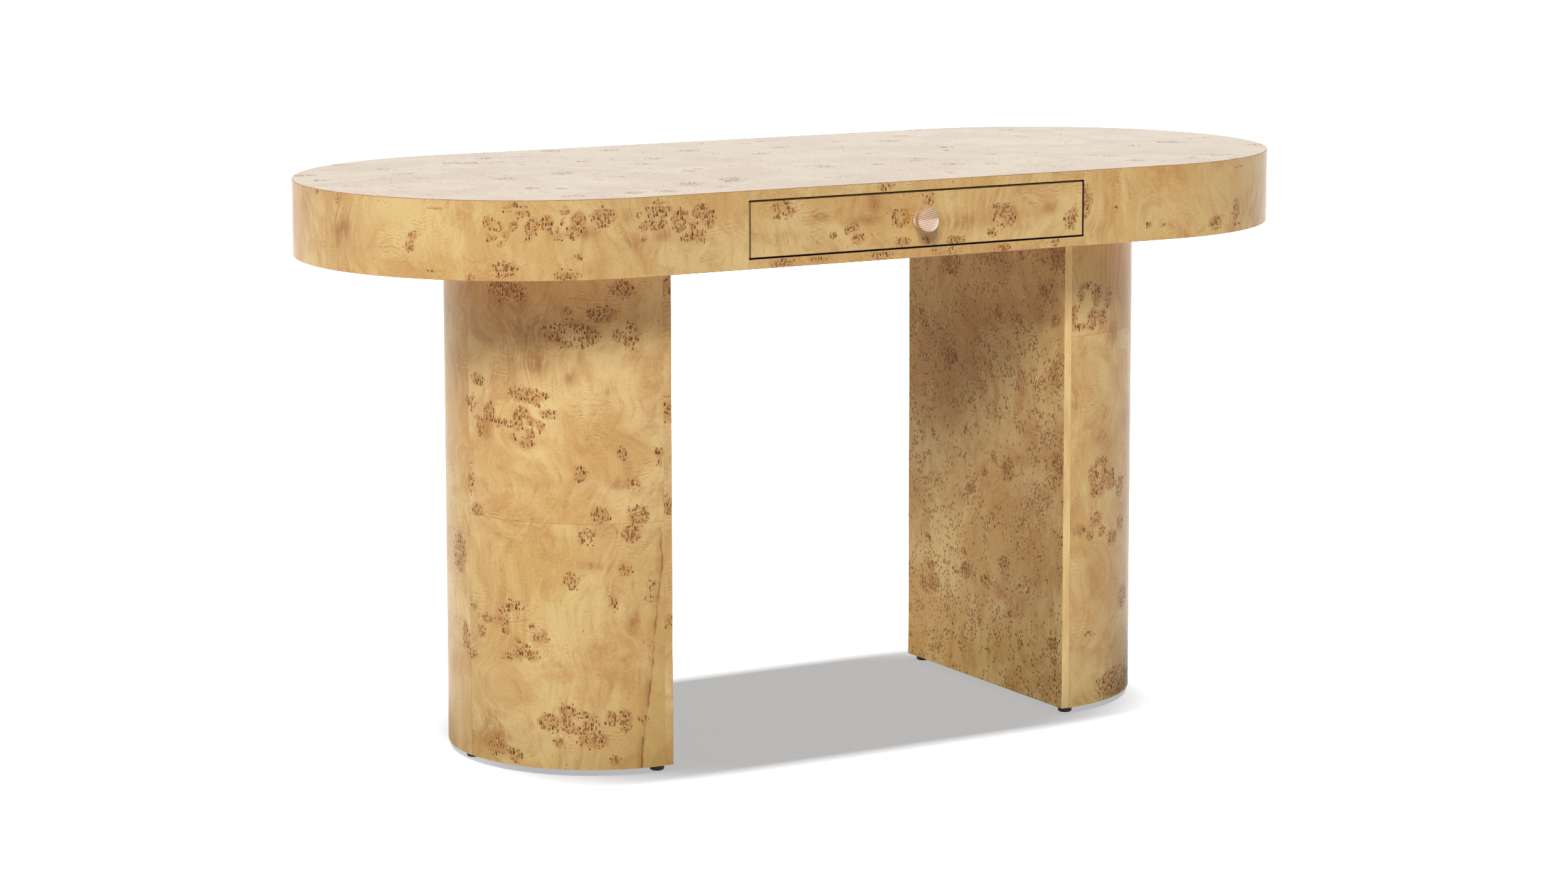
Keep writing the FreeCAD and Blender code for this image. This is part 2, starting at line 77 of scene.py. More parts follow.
def makeCamera():
    lens = bpy.data.cameras.new("camera")
    lens.sensor_width = view["sensorWidth"]
    lens.lens = view["focalPixels"] / view["frameWidth"] * view["sensorWidth"]
    lens.shift_y = view["shift"]
    lens.clip_end = view["farClip"]
    camera = addObject("camera", lens)
    camera.matrix_world = Matrix.Translation(view["place"]) @ turn.to_4x4()
    bpy.context.scene.camera = camera


# Where the sight line through a pixel of the photograph meets the CAD surface
def seenAt(across, down, names):
    across = (across - view["frameWidth"] / 2) / view["focalPixels"]
    up = (view["frameHeight"] / 2 - down + view["shift"] * view["frameWidth"]) / view["focalPixels"]
    sight = (turn @ Vector((across, up, -1))).normalized()
    hits = [nodes[name].ray_cast(view["place"], sight) for name in names]
    places = [hit[1] for hit in hits if hit[0]]
    return min(places, key=lambda place: (place - view["place"]).length) if places else None


makeCamera()
print("camera set")


class Socket:  # one output of a node; sums on it add Math nodes
    def __init__(self, paint, link):
        self.paint = paint
        self.link = link

    def sum(self, operation, first, second=0.0):
        return self.paint.node("ShaderNodeMath", {"operation": operation}, {0: first, 1: second})

    def __add__(self, other):
        return self.sum("ADD", self, other)

    def __sub__(self, other):
        return self.sum("SUBTRACT", self, other)

    def __rsub__(self, other):
        return self.sum("SUBTRACT", other, self)

    def __mul__(self, other):
        return self.sum("MULTIPLY", self, other)

    def __truediv__(self, other):
        return self.sum("DIVIDE", self, other)

    __radd__ = __add__
    __rmul__ = __mul__

    def sine(self):
        return self.sum("SINE", self)


class Paint:
    def __init__(self, tree):
        self.tree = tree
        tree.nodes.clear()

    def node(self, kind, settings, inputs, *outputs):
        made = self.tree.nodes.new(kind)
        for name, value in settings.items():
            setattr(made, name, value)
        for name, value in inputs.items():
            if isinstance(value, Socket):
                self.tree.links.new(value.link, made.inputs[name])
            else:
                made.inputs[name].default_value = value
        found = [Socket(self, made.outputs[name]) for name in outputs or (0,) if len(made.outputs)]
        return found if len(found) > 1 else (found or [None])[0]

    def mix(self, share, first, second):
        return self.node("ShaderNodeMix", {"data_type": "RGBA"}, {0: share, 6: first, 7: second}, 2)

    def vector(self, operation, first, second):
        second = {"Scale": second} if operation == "SCALE" else {1: second}
        return self.node("ShaderNodeVectorMath", {"operation": operation}, {0: first, **second})

    def noise(self, place, scale, detail=2.0, rough=0.5, output="Fac"):
        inputs = {"Vector": place, "Scale": scale, "Detail": detail, "Roughness": rough}
        return self.node("ShaderNodeTexNoise", {}, inputs, output)

    def ease(self, value, low, high, start=0.0, end=1.0):
        inputs = {"Value": value, "From Min": low, "From Max": high, "To Min": start, "To Max": end}
        return self.node("ShaderNodeMapRange", {"interpolation_type": "SMOOTHSTEP"}, inputs)

    def tint(self, colour, value, low, high, share, added):  # adds a colour as the value nears high
        return self.mix(self.ease(value, low, high) * share, colour, added)

    def within(self, value, start, full, fade, end):  # 1 from full to fade, eased to 0 at start and end
        return self.ease(value, start, full) * self.ease(value, end, fade)

    def solid(self):  # the place in the piece's own space
        return self.node("ShaderNodeTexCoord", {}, {}, "Object")

    def stretch(self, place, scale):
        return self.vector("MULTIPLY", place, scale)

    def rotate(self, place, axis, angle):
        inputs = {"Vector": place, "Angle": angle}
        return self.node("ShaderNodeVectorRotate", {"rotation_type": axis + "_AXIS"}, inputs)

    def bands(self, place, axis, scale, bent, fine):  # ripples that follow each other along an axis
        inputs = {"Vector": place, "Scale": scale, "Distortion": bent, "Detail": 2, "Detail Scale": fine}
        return self.node("ShaderNodeTexWave", {"wave_type": "BANDS", "bands_direction": axis}, inputs, "Fac")

    def bend(self, place, scale, reach, detail=1.0):  # the place pushed about by noise, up to half the reach
        push = self.vector("SUBTRACT", self.noise(place, scale, detail, output="Color"), (0.5, 0.5, 0.5))
        return self.vector("ADD", place, self.vector("SCALE", push, reach))

    def bump(self, height, strength, distance):
        return self.node("ShaderNodeBump", {}, {"Strength": strength, "Distance": distance, "Height": height})

    def surface(self, inputs):
        shader = self.node("ShaderNodeBsdfPrincipled", {}, inputs)
        self.node("ShaderNodeOutputMaterial", {}, {"Surface": shader})


def newMaterial(name):
    material = bpy.data.materials.new(name)
    material.use_nodes = True
    return material, Paint(material.node_tree)


def tone(red, green, blue):  # a colour as a screen shows it, 0 to 255
    shown = [part / 255 for part in (red, green, blue)]
    linear = [part / 12.92 if part < 0.04045 else ((part + 0.055) / 1.055) ** 2.4 for part in shown]
    return (*linear, 1.0)


# Forms shared by the veneered pieces, read from the CAD nodes
topLow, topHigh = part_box("top_panel")
bottomLow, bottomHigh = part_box("bottom_panel")
bandLow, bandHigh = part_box("back_apron")
middleY = (topLow.y + topHigh.y) / 2
endRadius = (topHigh.y - topLow.y) / 2
endX = topHigh.x - endRadius
panelLow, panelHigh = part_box("right_leg_inner_panel")
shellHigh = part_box("right_leg_shell")[1]
legRadius = (panelHigh.y - panelLow.y) / 2
legRoundX = shellHigh.x - legRadius
drawerLow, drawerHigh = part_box("drawer_front")
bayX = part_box("right_front_apron")[0].x
halfTurn = math.pi * endRadius  # length of one round end of the apron
bandLength = halfTurn + 2 * endX  # from the middle of the front to the middle of the back


# Flat places, in metres, of points on each veneered surface
def flatApron(place):  # along the apron from its front middle, and up
    beyond = abs(place.x) - endX
    if beyond > 0:
        along = endX + endRadius * math.atan2(beyond, middleY - place.y)
    else:
        along = abs(place.x) if place.y < middleY else bandLength - abs(place.x)
    return math.copysign(along, place.x), place.z


def flatTop(place):
    return place.x, place.y


def flatShell(place):  # round the leg from the middle of its nose, positive towards the back
    return legRadius * math.atan2(place.y - middleY, abs(place.x) - legRoundX), place.z


def flatInner(place):
    return place.y, place.z


# Burrs in the veneer: pixel across, pixel down, and half width and half height in pixels
apronBurrs = {
    "nodes": (
        "right_front_apron", "left_front_apron", "left_end_apron", "right_end_apron",
        "top_panel", "bottom_panel", "drawer_front",
    ),
    "stainsAndShade": (
        (935, 371, 18, 12), (1006, 385, 22, 14), (1060, 374, 16, 12), (1003, 341, 9, 16), (545, 360, 18, 34),
    ),
    "patches": (
        (658, 376, 7, 7), (653, 393, 8, 9), (776, 354, 7, 10), (792, 363, 11, 10), (808, 334, 7, 6),
        (821, 325, 4, 4), (834, 338, 12, 9), (818, 361, 7, 8), (807, 375, 6, 7), (849, 361, 11, 16),
        (843, 381, 7, 5), (784, 378, 9, 6), (798, 390, 6, 5), (873, 356, 9, 14), (900, 336, 9, 7),
        (897, 354, 4, 5), (923, 351, 13, 14), (914, 371, 12, 12), (891, 377, 11, 7), (881, 369, 7, 7),
        (963, 345, 21, 15), (954, 362, 7, 8), (1019, 342, 5, 6), (1053, 334, 19, 14), (1048, 357, 14, 14),
        (1027, 361, 8, 7), (1084, 352, 14, 19), (1117, 336, 14, 12), (1129, 352, 11, 16), (1107, 360, 9, 9),
        (1100, 378, 14, 8), (1119, 376, 9, 11), (1027, 381, 5, 3), (923, 410, 5, 6), (805, 430, 20, 13),
        (904, 440, 21, 10), (748, 443, 6, 6), (1410, 298, 16, 7), (1251, 417, 20, 7), (1308, 411, 16, 6),
        (1407, 406, 24, 7), (1510, 399, 26, 7), (1599, 394, 10, 8), (1682, 386, 8, 7), (1729, 322, 12, 28),
        (1779, 333, 4, 4), (1833, 358, 5, 5), (1856, 358, 4, 4), (1938, 356, 11, 13), (1971, 333, 5, 18),
        (537, 317, 4, 7), (505, 306, 3, 5),
    ),
}
drawerBurrs = {
    "nodes": ("drawer_front",),
    "stainsAndShade": (
        (1394, 325, 10, 22), (1530, 352, 34, 14), (1250, 380, 36, 9), (1640, 312, 30, 12),
        (1304, 348, 22, 10), (1610, 340, 16, 18), (1380, 352, 30, 8), (1676, 330, 14, 10),
    ),
    "patches": (
        (1240, 332, 10, 9), (1252, 325, 9, 5), (1257, 338, 10, 10), (1243, 344, 8, 5), (1328, 376, 6, 7),
        (1362, 362, 9, 8), (1369, 381, 11, 9), (1352, 368, 5, 6), (1441, 338, 7, 6), (1446, 347, 6, 8),
        (1438, 357, 8, 6), (1428, 350, 6, 8), (1427, 340, 5, 6), (1440, 385, 13, 7), (1476, 316, 7, 12),
        (1477, 383, 8, 8), (1483, 318, 6, 12), (1523, 383, 15, 8), (1590, 331, 7, 8), (1604, 329, 8, 7),
        (1614, 338, 7, 10), (1600, 343, 7, 7), (1588, 346, 6, 8), (1612, 352, 6, 8), (1598, 358, 9, 6),
        (1583, 370, 9, 6), (1706, 350, 11, 16), (1712, 336, 6, 8),
    ),
}
leftLegBurrs = {
    "nodes": ("left_leg_shell", "left_leg_inner_panel"),
    "rings": ((912, 533, 42, 20), (922, 1152, 30, 17)),
    # The first stains, just under the top, are partly painted shade: they darken the leg where the top shades
    # it
    "stainsAndShade": (
        (838, 532, 52, 44), (850, 580, 26, 26), (962, 619, 12, 10), (947, 902, 26, 7), (986, 773, 22, 8),
        (905, 600, 16, 20), (815, 488, 40, 20), (775, 665, 14, 26), (790, 1165, 30, 40), (1010, 990, 10, 30),
    ),
    "patches": (
        (841, 630, 30, 12), (818, 621, 9, 8), (874, 661, 15, 8), (854, 643, 6, 6), (824, 673, 8, 17),
        (832, 658, 12, 9), (846, 671, 8, 8), (807, 675, 9, 6), (780, 657, 9, 15), (795, 673, 7, 9),
        (768, 684, 6, 11), (762, 667, 5, 5), (845, 690, 7, 6), (862, 680, 7, 9), (817, 695, 7, 6),
        (839, 706, 12, 10), (823, 965, 12, 10),
        (800, 974, 4, 4), (808, 970, 6, 6), (829, 985, 5, 6), (839, 989, 3, 3), (847, 999, 5, 5),
        (859, 1017, 15, 8), (868, 1010, 5, 4), (778, 985, 11, 7), (800, 989, 8, 7), (810, 991, 5, 9),
        (808, 1006, 6, 6), (768, 1005, 7, 9), (809, 1045, 11, 8), (827, 1041, 10, 9), (838, 1034, 7, 7),
        (849, 1046, 10, 10), (826, 1020, 4, 7), (756, 1040, 5, 8), (757, 964, 3, 8), (800, 462, 20, 18),
        (828, 468, 9, 18), (904, 496, 8, 8), (959, 502, 25, 14), (990, 462, 22, 14),
        (1006, 535, 13, 24), (984, 535, 9, 9), (762, 606, 10, 9), (751, 640, 8, 12), (767, 680, 7, 14),
        (925, 756, 11, 14), (992, 723, 8, 11), (1052, 722, 9, 8), (1052, 739, 5, 5), (1010, 772, 11, 11),
        (956, 822, 15, 14), (1018, 822, 17, 16), (760, 812, 9, 10), (752, 765, 5, 22), (937, 856, 14, 14),
        (1006, 851, 17, 14), (996, 907, 12, 11), (912, 925, 11, 14), (977, 960, 8, 13), (1038, 932, 7, 8),
        (1036, 955, 6, 7), (756, 965, 5, 10), (743, 1011, 5, 25), (755, 1042, 7, 8), (733, 880, 9, 32),
        (876, 1152, 19, 14), (904, 1132, 14, 9), (948, 1180, 24, 13), (891, 1185, 8, 7), (975, 1146, 9, 13),
        (997, 1148, 12, 18), (1026, 1146, 6, 8), (794, 1187, 14, 18), (822, 1203, 10, 12), (980, 1213, 10, 9),
    ),
}
rightLegBurrs = {
    "nodes": ("right_leg_shell",),
    "stainsAndShade": ((1712, 640, 12, 20), (1720, 845, 14, 12), (1775, 530, 10, 20), (1760, 700, 16, 20)),
    "patches": (
        (1732, 457, 11, 6), (1724, 471, 5, 14), (1749, 471, 8, 17), (1767, 474, 5, 17), (1712, 496, 7, 10),
        (1743, 502, 8, 11), (1757, 505, 6, 14), (1710, 510, 8, 5), (1721, 521, 14, 6), (1741, 521, 6, 6),
        (1757, 735, 10, 6), (1743, 757, 7, 17), (1750, 783, 11, 11), (1760, 757, 5, 16), (1771, 763, 6, 19),
        (1785, 774, 5, 17), (1749, 828, 8, 11), (1727, 844, 6, 6), (1738, 854, 7, 8), (1756, 847, 5, 8),
        (1774, 856, 7, 11), (1785, 833, 4, 11), (1780, 1085, 20, 24), (1790, 950, 6, 20), (1735, 1010, 6, 5),
    ),
}


def readBurrs(burrs, flat):  # as (along, up, half length, half height, kind) in metres
    found = []
    for kind in ("patches", "rings", "stainsAndShade"):
        for across, down, wide, high in burrs.get(kind, ()):
            centre = seenAt(across, down, burrs["nodes"])
            if centre is None:
                print("no surface at", across, down)
                continue
            along, up = flat(centre)
            pixel = (centre - view["place"]).length / view["focalPixels"]
            aside = [seenAt(across + sign * wide / 2, down, burrs["nodes"]) for sign in (1, -1)]
            reach = max([abs(flat(place)[0] - along) * 2 for place in aside if place] + [wide * pixel])
            found.append((along, up, min(reach, wide * pixel * 4), high * pixel, kind))
    return found


# Burrs scattered by dice; a large one is a group of patches
scatter = {
    "sizes": (0.008, 0.042),  # half lengths in metres
    "rarity": 2.2,  # how much rarer the large ones are
    "squash": (0.6, 1.1),  # height as a share of length
    "groupFrom": 0.02,
    "patches": 10,
    "reach": (0.25, 1.0),  # shares of the burr's size
    "patch": (0.16, 0.36),
    "patchSquash": (0.7, 1.2),
}


def scatterBurrs(seed, count, low, high, sizes=scatter["sizes"]):
    dice = random.Random(seed)
    found = []
    for _ in range(count):
        size = sizes[0] + (sizes[1] - sizes[0]) * dice.random() ** scatter["rarity"]
        squash = dice.uniform(*scatter["squash"])
        along, up = [dice.uniform(low[axis], high[axis]) for axis in (0, 1)]
        if size < scatter["groupFrom"]:
            found.append((along, up, size, size * squash, "patches"))
            continue
        for _ in range(scatter["patches"]):
            angle = dice.uniform(0, math.tau)
            reach = size * dice.uniform(*scatter["reach"])
            patch = size * dice.uniform(*scatter["patch"])
            place = (along + reach * math.cos(angle), up + squash * reach * math.sin(angle))
            found.append((*place, patch, patch * dice.uniform(*scatter["patchSquash"]), "patches"))
    return found


# Leaves of veneer: cuts along the surface, and cuts across the height of single columns between them
def leafPlan(seed, along, columns=None):
    return {"seed": seed, "along": sorted(along), "columns": columns or {}}


# Joints between the leaves: pixels where the photograph shows one, and otherwise metres
joints = {
    "apronSeen": (519, 345),
    "rightEnd": (0.28, 0.75),  # along a round end from where it starts
    "leftEnd": (0.62, 0.95),
    "fromBack": 0.35,  # from the middle of the back
    "top": (-0.42, -0.06, 0.31),
    "leftFrontSeen": (747, 700),
    "leftBack": 0.1,
    "leftRowSeen": (930, 836),
    "leftRows": (0.3, 0.42),
    "rightFront": -0.07,
    "rightBack": 0.12,
    "rightRowSeen": (1745, 533),
    "rightRows": (0.45, 0.3),
    "flitch": 9,  # how far out in the wood a leaf may be cut
}


def leafShift(leaves, along, up):  # each leaf shows another part of the flitch
    column = bisect(leaves["along"], along)
    row = bisect(leaves["columns"].get(column, ()), up)
    dice = random.Random(leaves["seed"] * 1000 + column * 20 + row)
    return [dice.uniform(-joints["flitch"], joints["flitch"]) for _ in range(2)]


def planShell(seed, side, front, names):  # two joints up the shell, and one across each leaf between them
    heights = [seenAt(*joints[side + "RowSeen"], names).z, *joints[side + "Rows"]]
    return leafPlan(seed, [front, joints[side + "Back"]], {column: [up] for column, up in enumerate(heights)})


leftNodes, rightNodes = leftLegBurrs["nodes"], rightLegBurrs["nodes"]
seenJoint = flatApron(seenAt(*joints["apronSeen"], apronBurrs["nodes"]))[0]
endJoints = [endX + cut for cut in joints["rightEnd"]] + [-endX - cut for cut in joints["leftEnd"]]
apronLeaves = leafPlan(3, [seenJoint, -bayX, bayX, *endJoints, bandLength - joints["fromBack"]])
topLeaves = leafPlan(5, joints["top"], {column: [middleY] for column in range(4)})
leftLeaves = planShell(7, "left", flatShell(seenAt(*joints["leftFrontSeen"], leftNodes))[0], leftNodes)
rightLeaves = planShell(8, "right", joints["rightFront"], rightNodes)
innerLeaves = leafPlan(9, [])
drawerLeaves = leafPlan(12, [])

# How far along the photograph shows a surface, in metres; beyond that its burrs are scattered
seenReach = {"apronLeft": -1.06, "apronRight": 0.74, "leftShell": 0.12, "rightShell": -0.12}
shellEdge = 0.32  # a little more than from the shell's nose to its edge
fineBurrs = {"top": (0.004, 0.019), "inner": (0.006, 0.024)}
burrs = {
    "apron": readBurrs(apronBurrs, flatApron)
    + scatterBurrs(21, 60, (seenReach["apronRight"], bottomLow.z), (bandLength, topHigh.z))
    + scatterBurrs(22, 34, (-bandLength, bottomLow.z), (seenReach["apronLeft"], topHigh.z)),
    "drawer": readBurrs(drawerBurrs, flatApron),
    "top": scatterBurrs(31, 150, topLow, topHigh, fineBurrs["top"]),
    "leftLeg": readBurrs(leftLegBurrs, flatShell)
    + scatterBurrs(23, 44, (seenReach["leftShell"], 0.0), (shellEdge, bottomLow.z)),
    "rightLeg": readBurrs(rightLegBurrs, flatShell)
    + scatterBurrs(24, 66, (seenReach["rightShell"], 0.0), (shellEdge, bottomLow.z)),
    "inner": scatterBurrs(25, 46, panelLow.yz, panelHigh.yz, fineBurrs["inner"]),
}
crackPixels = ((1053, 838), (1056, 897), (1048, 963), (1043, 1024), (1039, 1075), (1029, 1152), (1024, 1197))
legCrack = [flatShell(seenAt(*pixel, leftNodes)) for pixel in crackPixels]  # down the front of the left leg
print("burrs placed")


veneer = {
    "pale": tone(237, 206, 144),
    "honey": tone(216, 170, 104),
    "tan": tone(186, 130, 70),
    "green": tone(210, 176, 104),
    "eye": tone(82, 42, 12),
    "eyePale": tone(130, 80, 34),
    "eyeHeart": tone(198, 146, 86),
    # pale colour of the painted highlights: rims round the pips, pale growth lines and pale ripple bands
    "rim": tone(240, 212, 152),
    "haze": tone(194, 132, 68),
    # colour of the stains, and of the painted shade under the top on the left leg
    "stainAndShade": tone(172, 108, 48),
    "seam": tone(150, 104, 54),
    "crack": tone(116, 70, 32),
    "eyeSize": 0.0034,
    "seamReach": 0.006,  # how far from a joint its field falls to nothing
}


def eyeLayer(paint, place, lean, amount, size, colour, depth):  # upright oval pips, dark round a paler heart
    flat = paint.stretch(paint.bend(place, 0.36 / size, size * 0.9), (1, 0.62, 0))
    settings, cells = {"voronoi_dimensions": "2D"}, {"Vector": flat, "Scale": 1 / size}
    chance, heart = paint.node("ShaderNodeTexVoronoi", settings, cells, "Color", "Position")
    red, green, blue = paint.node("ShaderNodeSeparateColor", {}, {0: chance}, 0, 1, 2)
    away = paint.rotate(paint.vector("SUBTRACT", flat, heart), "Z", lean)
    away = paint.stretch(away, (1.1, 0.9, 0))
    span = paint.node("ShaderNodeVectorMath", {"operation": "LENGTH"}, {0: away}, "Value")
    span = span / (size * (0.15 + 0.38 * green))  # pips differ in size
    there = paint.ease(amount - red, 0.0, 0.1)
    pip = paint.ease(span, 1.2, 0.75) * there
    middle = paint.ease(span, 0.8, 0.3) * there * paint.ease(blue, 1.0, 0.5, 0.3, 1.0)
    # the pale rim round each pip is a painted highlight, standing in for light on the raised edges of the
    # eyes
    rim = paint.within(span, 1.05, 1.3, 1.4, 2.1) * there
    dark = paint.mix(paint.ease(blue, 0.2, 1.0), veneer["eyePale"], veneer["eye"])
    colour = paint.mix(paint.ease(span, 2.4, 1.0) * there * (0.45 * depth), colour, veneer["haze"])
    colour = paint.mix(rim * (0.5 * depth), colour, veneer["rim"])
    colour = paint.mix(pip * depth, colour, dark)
    return paint.mix(middle * 0.8, colour, veneer["eyeHeart"]), pip


# What a veneered mesh keeps on its points; each leaf's shade is on its corners
pointFields = ("eyes", "growth", "seam", "leanX", "leanY", "crack", "stainAndShade")

# How fine the figure is, in waves to the metre, and the crack, in metres across it
figure = {
    "cloud": 8,
    "fold": (14, 5, 1),
    "flame": 17,
    "fibre": (150, 24, 1),
    "mottle": (240, 420, 1),
    "growthLines": 46,
    "wisp": 13,
    "curl": 62,
    "curlBreaks": (110, 170, 1),
    "burrPatch": 38,
    "crackWander": 0.006,
    "greenLeaf": (0.0, 0.002, 0.05, 0.07),
    "crackStreak": (-0.0018, -0.0003, 0.0001, 0.0014),
    "crackSmear": (-0.012, -0.001, 0.0, 0.004),
}


def burlVeneer(name, look):
    material, paint = newMaterial(name)
    place = paint.node("ShaderNodeUVMap", {"uv_map": "leaf"}, {})
    if look.get("onEdge"):  # across and up a board's front edge, where the map has no width
        across, up = paint.node("ShaderNodeSeparateXYZ", {}, {0: paint.solid()}, 0, 2)
        place = paint.node("ShaderNodeCombineXYZ", {}, {0: across, 1: up})
    eyes, growth, seam, leanX, leanY, crack, stainAndShade, shade = [
        paint.node("ShaderNodeAttribute", {"attribute_name": field}, {}, "Fac")
        for field in (*pointFields, "shade")
    ]

    # Soft clouds, folds and flames of the figure
    swept = paint.bend(place, 5, 0.2, 2)
    cloud = paint.noise(swept, figure["cloud"], 3, 0.55)
    colour = paint.mix(paint.ease(cloud, 0.36, 0.62), veneer["pale"], veneer["honey"])
    colour = paint.mix(shade * look["shade"], colour, veneer["green"])
    fold = paint.noise(paint.stretch(paint.bend(swept, 14, 0.03), figure["fold"]), 4, 4, 0.6)
    colour = paint.tint(colour, fold, 0.5, 0.72, 0.4, veneer["tan"])
    colour = paint.tint(colour, fold, 0.46, 0.28, 0.5, veneer["pale"])
    flame = paint.noise(paint.bend(swept, 20, 0.04), figure["flame"], 4, 0.62)
    colour = paint.tint(colour, flame, 0.48, 0.74, look["flame"], veneer["haze"])
    fibre = paint.noise(paint.stretch(paint.bend(swept, 7, 0.12, 2), figure["fibre"]), 1, 3, 0.6)
    # Stains in the figure; on the left leg under the top they are partly painted shade
    cloudy = paint.noise(paint.bend(place, 30, 0.02), 22, 3, 0.6) * 0.6 + fibre * 0.4
    colour = paint.mix(stainAndShade * paint.ease(cloudy, 0.36, 0.6) * 0.85, colour, veneer["stainAndShade"])
    colour = paint.tint(colour, fibre, 0.52, 0.7, 0.3, veneer["tan"])
    colour = paint.tint(colour, fibre, 0.46, 0.3, 0.3, veneer["pale"])
    mottle = paint.noise(paint.stretch(paint.bend(place, 30, 0.02), figure["mottle"]), 1, 3, 0.65)
    colour = paint.tint(colour, mottle, 0.5, 0.72, 0.3, veneer["tan"])
    colour = paint.tint(colour, mottle, 0.48, 0.3, 0.3, veneer["pale"])

    # Growth lines round the burrs, wisps along the figure, and ripple where the grain curls
    lines = (growth * figure["growthLines"] + paint.noise(place, 30, 2) * 12).sine()
    near = paint.within(growth, 0.12, 0.4, 0.7, 1.2) * paint.ease(paint.noise(place, 34, 2), 0.46, 0.62)
    colour = paint.mix(paint.ease(lines, 0.3, 1.0) * near * 0.16, colour, veneer["haze"])
    # the pale lines between the growth lines are a painted highlight
    colour = paint.mix(paint.ease(lines, -0.3, -1.0) * near * 0.2, colour, veneer["rim"])
    contour = (paint.noise(paint.bend(swept, 16, 0.05), figure["wisp"], 4, 0.6) * 70).sine()
    wisp = paint.ease(contour, 0.72, 1.0) * paint.ease(paint.noise(place, 17, 2), 0.5, 0.66)
    colour = paint.mix(wisp * 0.32, colour, veneer["haze"])
    curl = paint.bands(paint.bend(place, 24, 0.022), "Y", figure["curl"], 2.5, 2)
    breaks = paint.noise(paint.stretch(place, figure["curlBreaks"]), 1, 1)
    curled = paint.ease(paint.noise(place, 14, 1), 0.58, 0.7) * paint.ease(breaks, 0.46, 0.62)
    colour = paint.mix(paint.ease(curl, 0.6, 1.0) * curled * 0.5, colour, veneer["tan"])
    # the pale bands of the ripple are a painted highlight
    colour = paint.mix(paint.ease(curl, 0.4, 0.0) * curled * 0.4, colour, veneer["rim"])

    # Brown haze and eyes in the burrs
    patch = paint.noise(place, figure["burrPatch"], 2, 0.6)
    ragged = eyes * paint.ease(patch, 0.3, 0.45, 0.55, 1.0)
    around = paint.ease(eyes, 0.05, 0.8) * paint.ease(paint.noise(place, 30), 0.3, 0.55)
    colour = paint.mix(around * look["haze"], colour, veneer["haze"])
    stray = paint.ease(paint.noise(place, 13, 1), 0.6, 0.8) * look["stray"]
    wobble = (paint.noise(place, 60, 1) - 0.5) * look["tilt"]
    lean = leanY * (0.25 * leanX - 0.55) + wobble
    colour, pips = eyeLayer(paint, place, lean, ragged * 1.12 + stray, veneer["eyeSize"], colour, 1.0)
    dense = paint.ease(paint.noise(place, 9, 2, 0.6), 0.38, 0.58, 0.3, 1.0) * look["speck"]
    small = ragged * 0.2 + paint.ease(patch, 0.36, 0.6) * dense
    colour, specks = eyeLayer(paint, place, lean, small, look["speckSize"], colour, look["speckDepth"])

    # The joint between two leaves, and a crack with a greener leaf beyond it
    colour = paint.tint(colour, seam, 0.88, 0.96, 0.35, veneer["seam"])
    split = (paint.noise(place, 60, 3, 0.6) - 0.5) * figure["crackWander"] - crack
    colour = paint.mix(paint.within(split, *figure["greenLeaf"]) * 0.35, colour, veneer["green"])
    torn = paint.ease(paint.noise(place, 24, 2, 0.6), 0.42, 0.58)
    streak = paint.within(split, *figure["crackStreak"]) * (0.35 + 0.65 * torn)
    smear = paint.within(split, *figure["crackSmear"])
    colour = paint.mix(smear * (0.15 + 0.4 * torn), colour, veneer["stainAndShade"])
    colour = paint.mix(streak * 0.7, colour, veneer["crack"])
    height = paint.noise(place, 55) - pips * 0.4 - specks * 0.2
    paint.surface(
        {
            "Base Color": colour,
            "Roughness": 0.3 + 0.2 * patch,
            "Specular IOR Level": 0.0,
            "Coat Weight": look["coat"] * (1 - 0.6 * pips),  # the lacquer sinks into the open eyes
            "Coat Roughness": 0.06,
            "Coat IOR": 1.5,
            "Normal": paint.bump(height, 0.3, 0.0005),
        }
    )
    return material


def plainWood(name, light, dark, scale, gloss):  # straight grain, finest along the axis of the largest scale
    material, paint = newMaterial(name)
    place = paint.bend(paint.solid(), 6, 0.03)
    rings = paint.noise(paint.stretch(place, scale), 1, 3, 0.6)
    fibre = paint.noise(paint.stretch(place, [part * 7 for part in scale]), 1, 2, 0.6)
    colour = paint.mix(paint.ease(rings, 0.35, 0.7), light, dark)
    colour = paint.tint(colour, fibre, 0.5, 0.75, 0.25, dark)
    paint.surface(
        {"Base Color": colour, "Roughness": gloss + fibre * 0.15, "Normal": paint.bump(fibre, 0.15, 0.0003)}
    )
    return material


def limedOak(name):  # fine dark growth lines, dipping to the right
    look = {
        "light": tone(222, 184, 146),
        "dark": tone(134, 82, 50),
        "lime": tone(236, 212, 188),
        "slope": 0.25,
        "rings": 130,
        "pores": (260, 260, 1500),
    }
    material, paint = newMaterial(name)
    place = paint.rotate(paint.solid(), "Y", -look["slope"])
    rings = paint.bands(paint.bend(place, 40, 0.004), "Z", look["rings"], 1.2, 1.5)
    pores = paint.noise(paint.stretch(place, look["pores"]), 1, 2, 0.6)
    colour = paint.mix(paint.ease(rings, 0.5, 0.9), look["light"], look["dark"])
    colour = paint.tint(colour, pores, 0.55, 0.7, 0.3, look["lime"])
    paint.surface(
        {
            "Base Color": colour,
            "Roughness": 0.28 + 0.1 * pores,
            "Coat Weight": 1.0,
            "Coat Roughness": 0.08,
            "Normal": paint.bump(rings, 0.1, 0.0002),
        }
    )
    return material


